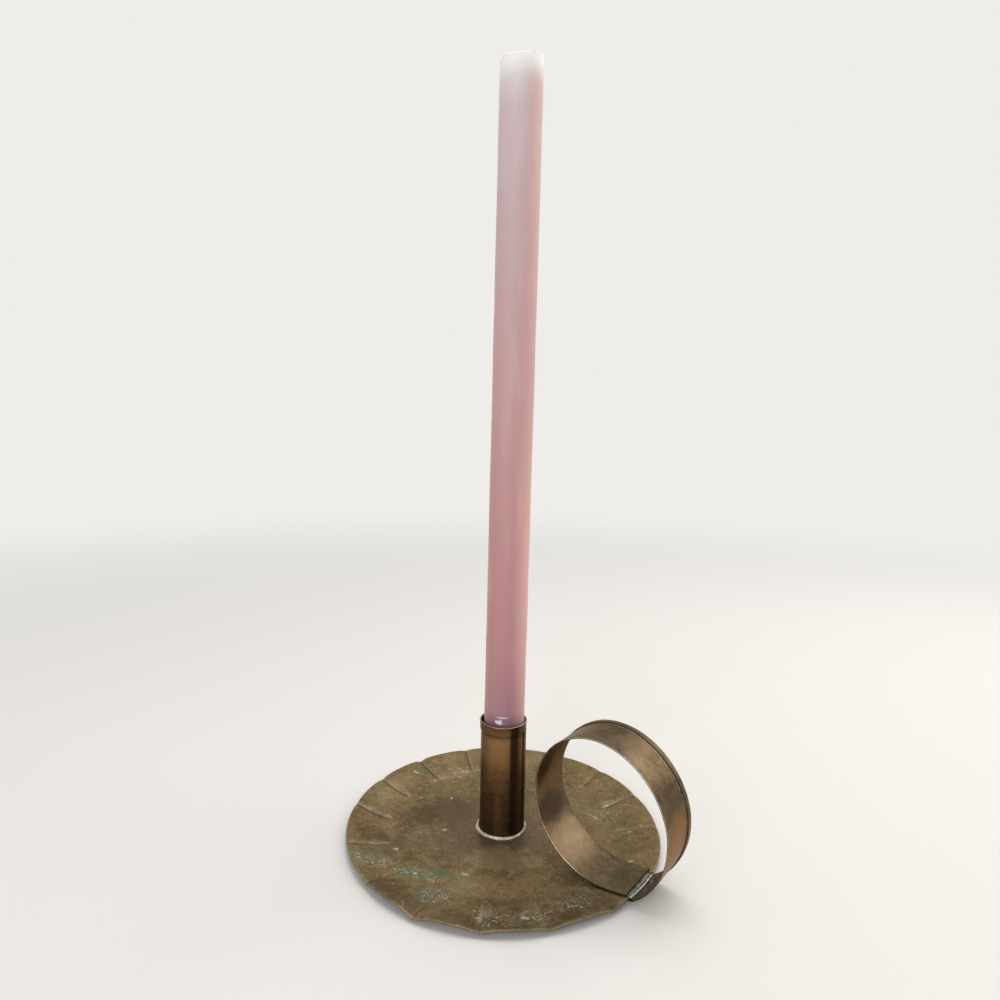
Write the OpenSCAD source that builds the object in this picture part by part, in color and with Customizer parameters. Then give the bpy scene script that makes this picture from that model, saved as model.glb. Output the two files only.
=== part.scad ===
// Chamberstick of tarnished sheet brass: a fluted drip pan, a rolled candle
// socket and a ring handle, soldered together, with a dinner candle in place.
// The origin is the middle of the pan's underside, and +Z is up. The pan's flat
// middle rests on z = 0, and the handle points to -37.5 degrees about Z.

/* [Drip pan] */
// Diameter of the pan over its rim
pan_d = 165; // [140:1:220]
// Thickness of the pan's sheet
pan_t = 0.8; // [0.6:0.1:1.2]
// Width of the upturned flange, from the flat middle to the rim
flange_w = 24.5; // [18:0.5:32]
// Height of the rim above the flat middle, half-way between two creases
rim_rise = 3.7; // [3:0.1:6]
// Length over which the flat middle bends up into the flange
knee_w = 4; // [2:0.5:6]
// Number of creases pressed into the flange
crease_n = 16; // [12:1:20]
// Direction of the first crease about Z, in degrees
crease_turn = 15.7; // [10:0.1:20]
// Depth of a crease where it meets the rim
crease_drop = 1.2; // [0.6:0.1:1.8]
// Width of one wall of a crease
crease_w = 4; // [3:0.1:5.5]
// Distance from the start of the flange to the inner end of a crease
crease_start = 2.8; // [2:0.1:5]
// How far the hand-cut rim strays outwards beside the handle
stray = 2.2; // [0:0.1:3]
// Direction of the widest stray about Z, in degrees
stray_turn = -28; // [-60:1:0]
// Angle over which the stray dies away on each side, in degrees
stray_reach = 50; // [40:1:70]

/* [Candle socket] */
// Height of the socket above the pan
socket_h = 60.6; // [45:0.1:80]
// Thickness of the socket's sheet
socket_t = 0.45; // [0.4:0.05:0.7]
// Clearance between the candle and the socket, on the radius
candle_gap = 0.7; // [0.65:0.05:1.2]
// Height of the hem folded outwards round the mouth
mouth_hem_h = 5.6; // [3:0.1:9]
// Width of the lap where the rolled sheet overlaps itself
lap_w = 8; // [5:0.5:11]
// Direction of the lap's free edge about Z, in degrees
lap_turn = -25; // [-60:1:20]
// Amount by which the foot turns outwards
foot_flare = 0.5; // [0.2:0.1:1]
// Height of the turned-out foot
foot_h = 6; // [3:0.5:10]
// Width of the solder fillet round the foot
fillet_w = 1.6; // [1:0.1:2.5]

/* [Ring handle] */
// Radius of the ring on its side towards the socket
inner_bend = 36.3; // [33:0.1:38]
// Angle through which that side bends
inner_sweep = 103; // [95:1:110]
// Radius of the ring over its top
top_bend = 33.1; // [30:0.1:36]
// Angle through which the top bends
top_sweep = 106; // [100:1:112]
// Width of the strap
strap_w = 25; // [18:0.5:26]
// Thickness of the strap
strap_t = 0.5; // [0.4:0.05:0.8]
// Width of the hem folded outwards along one edge of the strap
strap_hem_w = 3.6; // [2.5:0.1:5]
// Distance from the rim back to where the ring leaves the flange
landing_setback = 12.2; // [10:0.1:14]
// Direction of the handle about Z, in degrees
handle_turn = -37.5; // [-40:0.5:-36]
// Distance by which the strap sits beside the pan's radius
handle_shift = -0.7; // [-1:0.1:1]
// Distance from the rim back to the strap's cut end on the pan
cut_back = 3.8; // [2:0.1:5]
// Length of the strap's lower end tucked beneath the flange
tuck = 6; // [4:0.5:8]

/* [Candle] */
// Diameter of the candle
candle_d = 21.4; // [19:0.1:24]
// Length of the candle along its axis
candle_len = 394; // [200:1:420]
// Lean of the candle in the socket, towards +X, in degrees
candle_lean = 0.4; // [0.1:0.1:0.4]
// Thickness of the coloured overdip
coat_t = 0.5; // [0.3:0.05:1]
// Slant of the cut across the candle's top, in degrees
cut_slant = 18; // [0:1:25]
// Direction towards which that cut rises, in degrees about Z
cut_turn = 78; // [0:1:359]
// Length at the top that the overdip leaves bare, along the axis
bare_tip = 12.5; // [8:0.5:20]
// Diameter of the wick
wick_d = 1.8; // [1.2:0.1:3]

/* [Hidden] */
$fn = 96;
eps = 0.01;
tarnished_brass = [0.42, 0.36, 0.25];
dark_brass = [0.30, 0.24, 0.16];
dull_solder = [0.66, 0.65, 0.60];
white_wax = [0.90, 0.87, 0.83];
pink_wax = [0.78, 0.57, 0.57];
cotton = [0.93, 0.91, 0.86];

// Pan: the flat middle, and the slope of the flange beyond its knee
pan_r = pan_d / 2;
flat_r = pan_r - flange_w;
flange_slope = rim_rise / (flange_w - knee_w / 2);
knee_fall = flange_slope * knee_w / 2;
crease_step = 360 / crease_n;
// The flange's sheet runs this far into the flat disc, which it joins
joint_overlap = 1.5;
// Positions along the flange to the rim, from just outside the disc's edge
flange_steps = [0.003, 0.04, 0.1, 0.16, 0.32, 0.52, 0.76, 1];
// Positions across one wall of a crease, and across the crown beyond it
wall_steps = [0, 0.3, 0.65, 1];
crown_steps = [0.33, 0.67];

// Socket: everything follows from the candle and its clearance
bore_r = candle_d / 2 + candle_gap;
socket_r = bore_r + socket_t;
socket_top = pan_t + socket_h;
mouth_hem_r = socket_r + socket_t;
seam_film = 0.1;
lap_r = socket_r + seam_film + socket_t;
lap_angle = lap_w / socket_r * 180 / PI;
foot_r = socket_r + foot_flare;
fillet_r = foot_r + fillet_w;
fillet_h = 1.3;
fillet_seat = 0.05;

// Handle: the rim and the slope of the flange where the handle crosses them
handle_rim = pan_r + stray_at(handle_turn);
handle_slope = flange_slope * flange_w / (handle_rim - flat_r);
handle_tilt = atan(handle_slope);
// The strap stands on its own hem, a small seat above the flange
seat = 0.2;
strap_mid = pan_t + seat + strap_t * 1.5;
land_x = handle_rim - landing_setback;
land_z = strap_mid + handle_slope * (land_x - flat_r) - knee_fall;
// Length of the strap's upper end from where the ring lands to the cut
landing = (landing_setback - cut_back) / cos(handle_tilt);
// The ring is a chain of three bends, each starting where the last one ends
inner_from = 270 + handle_tilt;
inner_to = inner_from - inner_sweep;
inner_centre = [land_x - inner_bend * cos(inner_from), land_z - inner_bend * sin(inner_from)];
top_to = inner_to - top_sweep;
top_centre = inner_centre + (inner_bend - top_bend) * [cos(inner_to), sin(inner_to)];
top_end = top_centre + top_bend * [cos(top_to), sin(top_to)];
// The third bend comes down to pass under the rim
under_z = rim_rise - seat - strap_t / 2;
fall = [handle_rim, under_z] - top_end;
outer_bend = -(fall * fall) / (2 * fall * [cos(top_to), sin(top_to)]);
outer_centre = top_end - outer_bend * [cos(top_to), sin(top_to)];
outer_to = atan2(under_z - outer_centre.y, handle_rim - outer_centre.x);
// The tucked end stops short of the crease beside it
next_crease = crease_turn + crease_step * ceil((handle_turn - crease_turn) / crease_step);
crease_side = handle_rim * sin(next_crease - handle_turn) - crease_w - handle_shift;
tuck_to = min(strap_w / 2, crease_side - seat);
solder_film = 0.05;
bead = 1.5;
bed_recess = 2.5;

// Candle: its axis leaves the pan's middle and leans
candle_seat = 0.2;
candle_foot = pan_t + candle_seat + candle_d / 2 * sin(candle_lean);
core_r = candle_d / 2 - coat_t;
wax_film = 0.02;
wick_foot = 12;

// Distance out of the strap's inner face at height z, just above the rim
function strap_inside(z) =
    outer_centre.x
    + sqrt(pow(outer_bend - strap_t / 2 - solder_film, 2) - pow(outer_centre.y - z, 2));

// How far the rim strays outwards in a direction about Z
function stray_at(turn) =
    let (off = abs((turn - stray_turn + 540) % 360 - 180) / stray_reach)
    off >= 1 ? 0 : stray * pow(cos(90 * off), 2);

// Height of the flange between two creases, at a distance out from the flat
function flange_rise(out) =
    out <= 0 ? 0
    : out < knee_w ? flange_slope * out * out / (2 * knee_w)
    : flange_slope * out - knee_fall;

// How far a crease is pressed down, at a distance out from the flat
function crease_depth(out) =
    let (along = (out - crease_start) / (flange_w - crease_start))
    along <= 0 ? 0 : min(flange_rise(out), crease_drop * (0.35 + 0.65 * along));

// Shape across a crease: 1 in its bottom, 0 where its wall ends
function crease_wall(across) = pow(1 - min(across / crease_w, 1), 1.5);

// Height of the pan's underside, at a distance out and off the nearest crease
function pan_z(out, across) = flange_rise(out) - crease_depth(out) * crease_wall(across);

// Angles across one flute at radius r, from its crease to just before the next
function flute_angles(r) =
    let (wall = crease_w / r * 180 / PI)
    let (crown = crease_step - 2 * wall)
    concat(
        [for (s = wall_steps) s * wall],
        [for (s = crown_steps) wall + s * crown],
        [for (i = [len(wall_steps) - 1 : -1 : 1]) crease_step - wall_steps[i] * wall]
    );

// Distance along the arc from the nearest crease
function crease_distance(r, a) = min(a, crease_step - a) * PI / 180 * r;

// One ring of points round the flange, at a distance out, raised by lift
function flange_ring(out, lift) = [
    let (r = flat_r + out)
    for (i = [0 : crease_n - 1])
    for (a = flute_angles(r))
    let (turn = crease_turn + i * crease_step + a)
    let (reach = r + stray_at(turn) * max(out, 0) / flange_w)
    [reach * cos(turn), reach * sin(turn), pan_z(out, crease_distance(r, a)) + lift]
];

module flange() {
    top_rings = concat(
        [flange_ring(-joint_overlap, pan_t * 0.7)],
        [for (s = flange_steps) flange_ring(s * flange_w, pan_t)]
    );
    under_rings = concat(
        [flange_ring(-joint_overlap, pan_t * 0.3)],
        [for (s = flange_steps) flange_ring(s * flange_w, 0)]
    );
    count = len(top_rings[0]);
    rows = len(top_rings);
    points = [for (ring = concat(top_rings, under_rings)) for (p = ring) p];
    function at(row, column) = row * count + column % count;
    under = rows;
    faces = concat(
        [for (k = [0 : rows - 2]) for (i = [0 : count - 1])
            [at(k, i), at(k + 1, i + 1), at(k + 1, i)]],
        [for (k = [0 : rows - 2]) for (i = [0 : count - 1])
            [at(k, i), at(k, i + 1), at(k + 1, i + 1)]],
        [for (k = [0 : rows - 2]) for (i = [0 : count - 1])
            [at(under + k, i), at(under + k + 1, i), at(under + k + 1, i + 1)]],
        [for (k = [0 : rows - 2]) for (i = [0 : count - 1])
            [at(under + k, i), at(under + k + 1, i + 1), at(under + k, i + 1)]],
        [for (i = [0 : count - 1]) [at(rows - 1, i), at(rows - 1, i + 1), at(under + rows - 1, i + 1)]],
        [for (i = [0 : count - 1])
            [at(rows - 1, i), at(under + rows - 1, i + 1), at(under + rows - 1, i)]],
        [for (i = [0 : count - 1]) [at(0, i), at(under, i + 1), at(0, i + 1)]],
        [for (i = [0 : count - 1]) [at(0, i), at(under, i), at(under, i + 1)]]
    );
    polyhedron(points, faces, convexity = 6);
}

module drip_pan() {
    color(tarnished_brass) {
        cylinder(h = pan_t, r = flat_r);
        flange();
    }
}

// Wedge of the plane about Z, from angle a0 to a1, reaching to radius r
module wedge(a0, a1, r) {
    reach = r * 2;
    mid = (a0 + a1) / 2;
    polygon([
        [0, 0],
        [reach * cos(a0), reach * sin(a0)],
        [reach * cos(mid), reach * sin(mid)],
        [reach * cos(a1), reach * sin(a1)]
    ]);
}

module candle_socket() {
    color(dark_brass) {
        rotate_extrude()
        polygon([
            [bore_r, pan_t + foot_h],
            [bore_r + foot_flare, pan_t],
            [foot_r, pan_t],
            [socket_r, pan_t + foot_h],
            [socket_r, socket_top - mouth_hem_h],
            [mouth_hem_r, socket_top - mouth_hem_h],
            [mouth_hem_r, socket_top - socket_t / 2],
            [mouth_hem_r - socket_t / 2, socket_top],
            [bore_r + socket_t / 2, socket_top],
            [bore_r, socket_top - socket_t / 2]
        ]);
        // The outer end of the rolled sheet, lapped over the seam's solder
        translate([0, 0, pan_t + foot_h])
        linear_extrude(socket_h - foot_h - mouth_hem_h)
        intersection() {
            difference() {
                circle(lap_r);
                circle(socket_r + seam_film);
            }
            wedge(lap_turn, lap_turn + lap_angle, lap_r);
        }
        // The step where the lap joins back into the tube
        translate([0, 0, pan_t + foot_h])
        linear_extrude(socket_h - foot_h - mouth_hem_h)
        intersection() {
            difference() {
                circle(lap_r);
                circle(socket_r - eps);
            }
            wedge(lap_turn + lap_angle - eps, lap_turn + lap_angle + 3, lap_r);
        }
    }
}

module seam_solder() {
    color(dull_solder)
    translate([0, 0, pan_t + foot_h])
    linear_extrude(socket_h - foot_h - mouth_hem_h)
    intersection() {
        difference() {
            circle(socket_r + seam_film);
            circle(socket_r);
        }
        wedge(lap_turn + 2, lap_turn + lap_angle - 1, lap_r);
    }
}

module socket_solder() {
    inner_top = foot_r - foot_flare * fillet_h / foot_h + fillet_seat;
    hollow_r = fillet_w * 1.6;
    color(dull_solder)
    rotate_extrude()
    difference() {
        polygon([
            [foot_r + fillet_seat, pan_t],
            [fillet_r, pan_t],
            [inner_top, pan_t + fillet_h]
        ]);
        translate([fillet_r + hollow_r * 0.55, pan_t + fillet_h + hollow_r * 0.72])
        circle(hollow_r);
    }
}

// Puts a profile drawn in the handle's upright plane in place. x runs outwards
// from the pan's middle and y upwards; from and to run across the strap.
module across_strap(from, to) {
    rotate([0, 0, handle_turn])
    translate([0, handle_shift + to, 0])
    rotate([90, 0, 0])
    linear_extrude(to - from)
    children();
}

// Round band centred on the origin, inside the wedge from angle a0 to a1
module band_arc(r_in, r_out, a0, a1) {
    steps = ceil((a1 - a0) / 60);
    turn = (a1 - a0) / steps;
    intersection() {
        difference() {
            circle(r_out, $fn = 180);
            circle(r_in, $fn = 180);
        }
        union() {
            for (i = [0 : steps - 1])
                wedge(a0 + i * turn, a0 + (i + 1) * turn + eps, r_out);
        }
    }
}

// Strap seen from its edge. The layer lies from lo to hi off the strap's middle
// line, with plus values on the outside of the ring.
module strap_profile(lo, hi) {
    translate(inner_centre)
    band_arc(inner_bend + lo, inner_bend + hi, inner_to, inner_from);
    translate(top_centre)
    band_arc(top_bend + lo, top_bend + hi, top_to, inner_to);
    translate(outer_centre)
    band_arc(outer_bend + lo, outer_bend + hi, outer_to, top_to);
    on_landing()
    translate([-eps, -hi])
    square([landing + eps, hi - lo]);
}

// Frame in the handle's upright plane: the strap's middle line leaves the ring
// at its origin and runs up the flange along +X
module on_landing() {
    translate([land_x, land_z])
    rotate(handle_tilt)
    children();
}

// Lower end of the strap, flat against the underside of the flange
module tucked_end(lo, hi) {
    translate([handle_rim, under_z])
    rotate(handle_tilt)
    translate([-tuck, -hi])
    square([tuck + strap_t / 2, hi - lo]);
}

module ring_handle() {
    half = strap_t / 2;
    color(tarnished_brass) {
        across_strap(-strap_w / 2, strap_w / 2)
        strap_profile(-half, half);
        across_strap(-strap_w / 2, tuck_to)
        tucked_end(-half, half);
        across_strap(strap_w / 2 - strap_hem_w, strap_w / 2)
        strap_profile(half - eps, half + strap_t);
    }
}

// Solder bed beneath the strap's upper end, and the bead along its cut edge
module handle_top_solder() {
    underside = -strap_t / 2;
    color(dull_solder)
    across_strap(-strap_w / 2 + bed_recess, strap_w / 2 - strap_hem_w - solder_film)
    on_landing()
    polygon([
        [0, underside - strap_t],
        [landing + bead, underside - strap_t],
        [landing + bead * 0.4, underside],
        [landing + solder_film, strap_t / 2],
        [landing + solder_film, underside - solder_film],
        [0, underside - solder_film]
    ]);
}

// Bead in the corner between the rim and the strap that passes down beside it
module handle_rim_solder() {
    reach = pan_r + stray + solder_film;
    low = rim_rise + pan_t * 0.4;
    high = rim_rise + pan_t * 1.4;
    color(dull_solder)
    difference() {
        across_strap(-strap_w / 2 + seat, strap_w / 2 - strap_hem_w)
        polygon([
            [reach - bead, low],
            [strap_inside(low), low],
            [strap_inside(high), high],
            [reach - bead, high]
        ]);
        cylinder(h = high + pan_t, r = reach, $fn = 720);
    }
}

// Frame of the candle: its foot is on the origin and it runs along +Z
module on_candle() {
    translate([0, 0, candle_foot])
    rotate([0, candle_lean, 0])
    children();
}

// Everything above the slanted cut across the candle's top
module above_cut() {
    translate([0, 0, candle_len])
    rotate([0, -cut_slant, cut_turn])
    translate([-candle_d, -candle_d, 0])
    cube([candle_d * 2, candle_d * 2, candle_d * 2]);
}

module candle_core() {
    color(white_wax)
    on_candle()
    difference() {
        cylinder(h = candle_len + candle_d, r = core_r);
        translate([0, 0, wick_foot])
        cylinder(h = candle_len + candle_d, d = wick_d);
        above_cut();
    }
}

module candle_coat() {
    color(pink_wax)
    on_candle()
    difference() {
        cylinder(h = candle_len - bare_tip, d = candle_d);
        translate([0, 0, -1])
        cylinder(h = candle_len, r = core_r + wax_film);
    }
}

module candle_wick() {
    color(cotton)
    on_candle()
    difference() {
        translate([0, 0, wick_foot])
        cylinder(h = candle_len, d = wick_d);
        above_cut();
    }
}

drip_pan();
candle_socket();
seam_solder();
socket_solder();
ring_handle();
handle_top_solder();
handle_rim_solder();
candle_core();
candle_coat();
candle_wick();
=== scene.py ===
"""Chamberstick of tarnished sheet brass with a dinner candle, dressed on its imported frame.

The drip pan, the rolled candle socket, the ring handle and the candle are each a class. A class holds
its sizes in millimetres and degrees, builds its pieces with bmesh operators, and gives them a finish.
"""

import logging
import math
from dataclasses import dataclass, field
from enum import Enum
from typing import Sequence

import bmesh
import bpy
from bmesh.types import BMEdge, BMesh, BMVert
from mathutils import Matrix, Vector, noise


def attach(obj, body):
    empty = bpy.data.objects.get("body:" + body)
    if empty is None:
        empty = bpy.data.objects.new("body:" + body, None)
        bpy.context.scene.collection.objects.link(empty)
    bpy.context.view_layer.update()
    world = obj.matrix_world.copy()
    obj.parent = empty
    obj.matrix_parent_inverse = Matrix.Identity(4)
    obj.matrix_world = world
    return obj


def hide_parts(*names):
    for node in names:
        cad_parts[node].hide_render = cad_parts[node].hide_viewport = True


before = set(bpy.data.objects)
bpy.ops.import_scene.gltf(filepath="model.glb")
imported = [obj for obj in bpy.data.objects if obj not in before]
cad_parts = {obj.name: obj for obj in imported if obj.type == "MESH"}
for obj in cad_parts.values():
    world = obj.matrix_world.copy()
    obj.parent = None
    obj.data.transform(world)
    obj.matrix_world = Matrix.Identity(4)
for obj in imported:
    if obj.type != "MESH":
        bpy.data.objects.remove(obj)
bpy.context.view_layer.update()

log = logging.getLogger("chamberstick")

MM = 0.001
Rgb = tuple[int, int, int]
Point = tuple[float, float]
Socket = bpy.types.NodeSocket
# Vertex attributes read by the finishes: the first marks worn edges and painted highlights, the second soiling
# and painted shade.
WEAR_AND_HIGHLIGHT = "wear_and_highlight"
GRIME_AND_SHADE = "grime_and_shade"


class Body(Enum):
    """The two bodies that move apart when the candle is lifted."""

    CHAMBERSTICK = "chamberstick"
    CANDLE = "candle"


class Slot(Enum):
    """The record's finishes."""

    PAN = "pan_brass"
    SOCKET = "socket_brass"
    STRAP = "strap_brass"
    SOLDER = "solder"
    WHITE_WAX = "white_wax"
    PINK_WAX = "pink_wax"
    COTTON = "cotton_wick"


class Grain(Enum):
    """Direction in which a sheet was rubbed, as the stretch of its streaks in millimetres."""

    NONE = (5.0, 5.0, 5.0)
    UPRIGHT = (0.8, 0.8, 18.0)


def linear(rgb: Rgb) -> tuple[float, float, float, float]:
    """Turns a colour of 0 to 255 as a screen shows it into a linear one with alpha."""
    parts = [c / 255 for c in rgb]
    return tuple(p / 12.92 if p < 0.04045 else ((p + 0.055) / 1.055) ** 2.4 for p in parts) + (1.0,)


def ease(value: float) -> float:
    """Smooth step from 0 to 1."""
    t = min(max(value, 0.0), 1.0)
    return t * t * (3 - 2 * t)


def ripple(place: Vector, size: float, seed: float = 0.0) -> float:
    """Smooth unevenness from about -1 to 1.

    Args:
        place: where on the piece, in millimetres.
        size: distance over which it changes, in millimetres.
        seed: picks another pattern.

    Returns:
        The unevenness there.
    """
    return noise.noise(place / size + Vector((seed, seed * 0.7, seed * 1.3)))


def fine_line(start: Point, end: Point, step: float) -> list[Point]:
    """Splits a straight stretch of an outline, without its last point.

    Args:
        start: first point.
        end: point that the next stretch starts from.
        step: greatest distance between two points.

    Returns:
        The points from start up to, but without, end.
    """
    count = max(1, math.ceil(math.dist(start, end) / step))
    return [tuple(a + (b - a) * i / count for a, b in zip(start, end)) for i in range(count)]


def fine_arc(centre: Point, radius: float, start: float, end: float, count: int) -> list[Point]:
    """Points along an arc of an outline.

    Args:
        centre: middle of the arc.
        radius: its radius.
        start: first angle, in degrees.
        end: last angle, in degrees.
        count: number of steps.

    Returns:
        The points from start to end, both included.
    """
    turns = [math.radians(start + (end - start) * i / count) for i in range(count + 1)]
    return [(centre[0] + radius * math.cos(t), centre[1] + radius * math.sin(t)) for t in turns]


def join_line(bm: BMesh, places: Sequence[Vector], closed: bool) -> tuple[list[BMVert], list[BMEdge]]:
    """Draws a chain of edges.

    Args:
        bm: mesh that takes it.
        places: points of the chain.
        closed: whether the last point joins the first.

    Returns:
        The chain's vertices and edges.
    """
    verts = [bm.verts.new(p) for p in places]
    ends = verts[1:] + verts[:1] if closed else verts[1:]
    return verts, [bm.edges.new(pair) for pair in zip(verts, ends)]


def turn_outline(bm: BMesh, outline: Sequence[Point], steps: int, closed: bool = True) -> None:
    """Spins an outline of radius and height a full turn about Z.

    Args:
        bm: mesh that takes the turned shape.
        outline: points of radius and height.
        steps: columns in the full turn.
        closed: whether the outline is a closed loop.
    """
    verts, edges = join_line(bm, [Vector((r, 0, z)) for r, z in outline], closed)
    bmesh.ops.spin(bm, geom=verts + edges, cent=(0, 0, 0), axis=(0, 0, 1), dvec=(0, 0, 0),
                   angle=math.tau, steps=steps, use_merge=True)
    bmesh.ops.remove_doubles(bm, verts=bm.verts[:], dist=0.002)
    bmesh.ops.recalc_face_normals(bm, faces=bm.faces[:])


def close_ends(bm: BMesh) -> None:
    """Closes every open loop with a face and points all faces outwards."""
    loops = [e for e in bm.edges if e.is_boundary]
    bmesh.ops.edgeloop_fill(bm, edges=loops)
    bmesh.ops.recalc_face_normals(bm, faces=bm.faces[:])


class Recipe:
    """One procedural material, built node by node on places in millimetres."""

    def __init__(self, name: str) -> None:
        """Starts a material with a Principled shader.

        Args:
            name: the material's name.
        """
        self.material = bpy.data.materials.new(name)
        self.material.use_nodes = True
        self.tree = self.material.node_tree
        self.tree.nodes.clear()
        self.shader = self.tree.nodes.new("ShaderNodeBsdfPrincipled")
        self.output = self.tree.nodes.new("ShaderNodeOutputMaterial")
        self.tree.links.new(self.shader.outputs[0], self.output.inputs["Surface"])
        coords = self.tree.nodes.new("ShaderNodeTexCoord")
        self.place = self._scaled(coords.outputs["Object"], 1 / MM)

    def _scaled(self, vector: Socket, factor: float) -> Socket:
        """Multiplies a vector by one number."""
        node = self.tree.nodes.new("ShaderNodeVectorMath")
        node.operation = "SCALE"
        self.tree.links.new(vector, node.inputs[0])
        node.inputs["Scale"].default_value = factor
        return node.outputs[0]

    def _feed(self, target: Socket, value: Socket | float | tuple) -> None:
        """Links a socket or sets a plain value."""
        if isinstance(value, bpy.types.NodeSocket):
            self.tree.links.new(value, target)
        else:
            target.default_value = value

    def settle(self, **values: float | tuple) -> None:
        """Sets uniform values on the shader, named with underscores for spaces."""
        for key, value in values.items():
            self.shader.inputs[key.replace("_", " ")].default_value = value

    def drive(self, name: str, value: Socket) -> None:
        """Links a worked-out value to a socket of the shader."""
        self.tree.links.new(value, self.shader.inputs[name])

    def attribute(self, name: str) -> Socket:
        """A number that the mesh carries at its vertices."""
        node = self.tree.nodes.new("ShaderNodeAttribute")
        node.attribute_name = name
        return node.outputs["Fac"]

    def axis(self, letter: str) -> Socket:
        """One coordinate of the place, in millimetres."""
        node = self.tree.nodes.new("ShaderNodeSeparateXYZ")
        self.tree.links.new(self.place, node.inputs[0])
        return node.outputs[letter]

    def math(self, operation: str, a: Socket | float, b: Socket | float = 0.0) -> Socket:
        """Combines two numbers."""
        node = self.tree.nodes.new("ShaderNodeMath")
        node.operation = operation
        self._feed(node.inputs[0], a)
        self._feed(node.inputs[1], b)
        return node.outputs[0]

    def stretched(self, sizes: tuple[float, float, float], turn: float = 0.0) -> Socket:
        """The place, turned about Z and divided by a size on each axis.

        Args:
            sizes: length of the pattern along each axis, in millimetres.
            turn: turn about Z, in degrees.

        Returns:
            The place for a pattern of size 1.
        """
        node = self.tree.nodes.new("ShaderNodeMapping")
        node.vector_type = "TEXTURE"
        self.tree.links.new(self.place, node.inputs["Vector"])
        node.inputs["Rotation"].default_value = (0, 0, math.radians(turn))
        node.inputs["Scale"].default_value = sizes
        return node.outputs[0]

    def clouds(self, size: float | tuple[float, float, float], detail: float = 3.0, turn: float = 0.0,
               roughness: float = 0.55) -> Socket:
        """Soft noise from 0 to 1.

        Args:
            size: size of its largest blots in millimetres, or one size for each axis.
            detail: number of finer layers.
            turn: turn about Z, in degrees.
            roughness: strength of the finer layers.

        Returns:
            The noise.
        """
        sizes = size if isinstance(size, tuple) else (size, size, size)
        node = self.tree.nodes.new("ShaderNodeTexNoise")
        self.tree.links.new(self.stretched(sizes, turn), node.inputs["Vector"])
        node.inputs["Scale"].default_value = 1.0
        node.inputs["Detail"].default_value = detail
        node.inputs["Roughness"].default_value = roughness
        return node.outputs["Fac"]

    def window(self, value: Socket, low: float, high: float) -> Socket:
        """Smooth rise from 0 at low to 1 at high, or the other way round if high is less."""
        node = self.tree.nodes.new("ShaderNodeMapRange")
        node.interpolation_type = "SMOOTHSTEP"
        self.tree.links.new(value, node.inputs["Value"])
        node.inputs["From Min"].default_value = min(low, high)
        node.inputs["From Max"].default_value = max(low, high)
        node.inputs["To Min"].default_value = 0.0 if low < high else 1.0
        node.inputs["To Max"].default_value = 1.0 if low < high else 0.0
        return node.outputs["Result"]

    def mix(self, amount: Socket | float, a: Socket | Rgb, b: Socket | Rgb) -> Socket:
        """Mixes two colours.

        Args:
            amount: 0 for the first, 1 for the second.
            a: first colour.
            b: second colour.

        Returns:
            The mixed colour.
        """
        node = self.tree.nodes.new("ShaderNodeMix")
        node.data_type = "RGBA"
        self._feed(node.inputs[0], amount)
        self._feed(node.inputs[6], linear(a) if isinstance(a, tuple) else a)
        self._feed(node.inputs[7], linear(b) if isinstance(b, tuple) else b)
        return node.outputs[2]

    def ramp(self, value: Socket, stops: Sequence[tuple[float, Rgb]]) -> Socket:
        """Colour that follows a length.

        Args:
            value: the length, in millimetres.
            stops: lengths with their colours, in rising order.

        Returns:
            The colour.
        """
        low, high = stops[0][0], stops[-1][0]
        node = self.tree.nodes.new("ShaderNodeValToRGB")
        share = self.math("DIVIDE", self.math("SUBTRACT", value, low), high - low)
        self.tree.links.new(share, node.inputs[0])
        marks = node.color_ramp.elements
        for _ in stops[2:]:
            marks.new(0.5)
        for mark, (length, colour) in zip(marks, stops):
            mark.position = (length - low) / (high - low)
            mark.color = linear(colour)
        return node.outputs[0]

    def flecks(self, length: float, width: float, turn: float, share: float) -> Socket:
        """Small scattered dashes that lie one way in the plan.

        Args:
            length: length of a dash, in millimetres.
            width: its width, in millimetres.
            turn: its direction about Z, in degrees.
            share: share of the places that hold one.

        Returns:
            1 on a dash, 0 elsewhere.
        """
        node = self.tree.nodes.new("ShaderNodeTexVoronoi")
        self.tree.links.new(self.stretched((length * 1.6, width * 2.5, length * 1.6), turn),
                            node.inputs["Vector"])
        node.inputs["Scale"].default_value = 1.0
        dash = self.window(node.outputs["Distance"], 0.3, 0.16)
        chosen = self.math("LESS_THAN", self._first(node.outputs["Color"]), share)
        return self.math("MULTIPLY", dash, chosen)

    def specks(self, spacing: float, size: float, share: float) -> Socket:
        """Small scattered dots.

        Args:
            spacing: mean distance between places for a dot, in millimetres.
            size: diameter of a dot, in millimetres.
            share: share of the places that hold one.

        Returns:
            1 on a dot, 0 elsewhere.
        """
        node = self.tree.nodes.new("ShaderNodeTexVoronoi")
        self.tree.links.new(self.stretched((spacing,) * 3), node.inputs["Vector"])
        node.inputs["Scale"].default_value = 1.0
        dot = self.window(node.outputs["Distance"], size / spacing / 2, size / spacing / 4)
        chosen = self.math("LESS_THAN", self._first(node.outputs["Color"]), share)
        return self.math("MULTIPLY", dot, chosen)

    def _first(self, colour: Socket) -> Socket:
        """Red part of a colour."""
        node = self.tree.nodes.new("ShaderNodeSeparateColor")
        self.tree.links.new(colour, node.inputs[0])
        return node.outputs[0]

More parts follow.
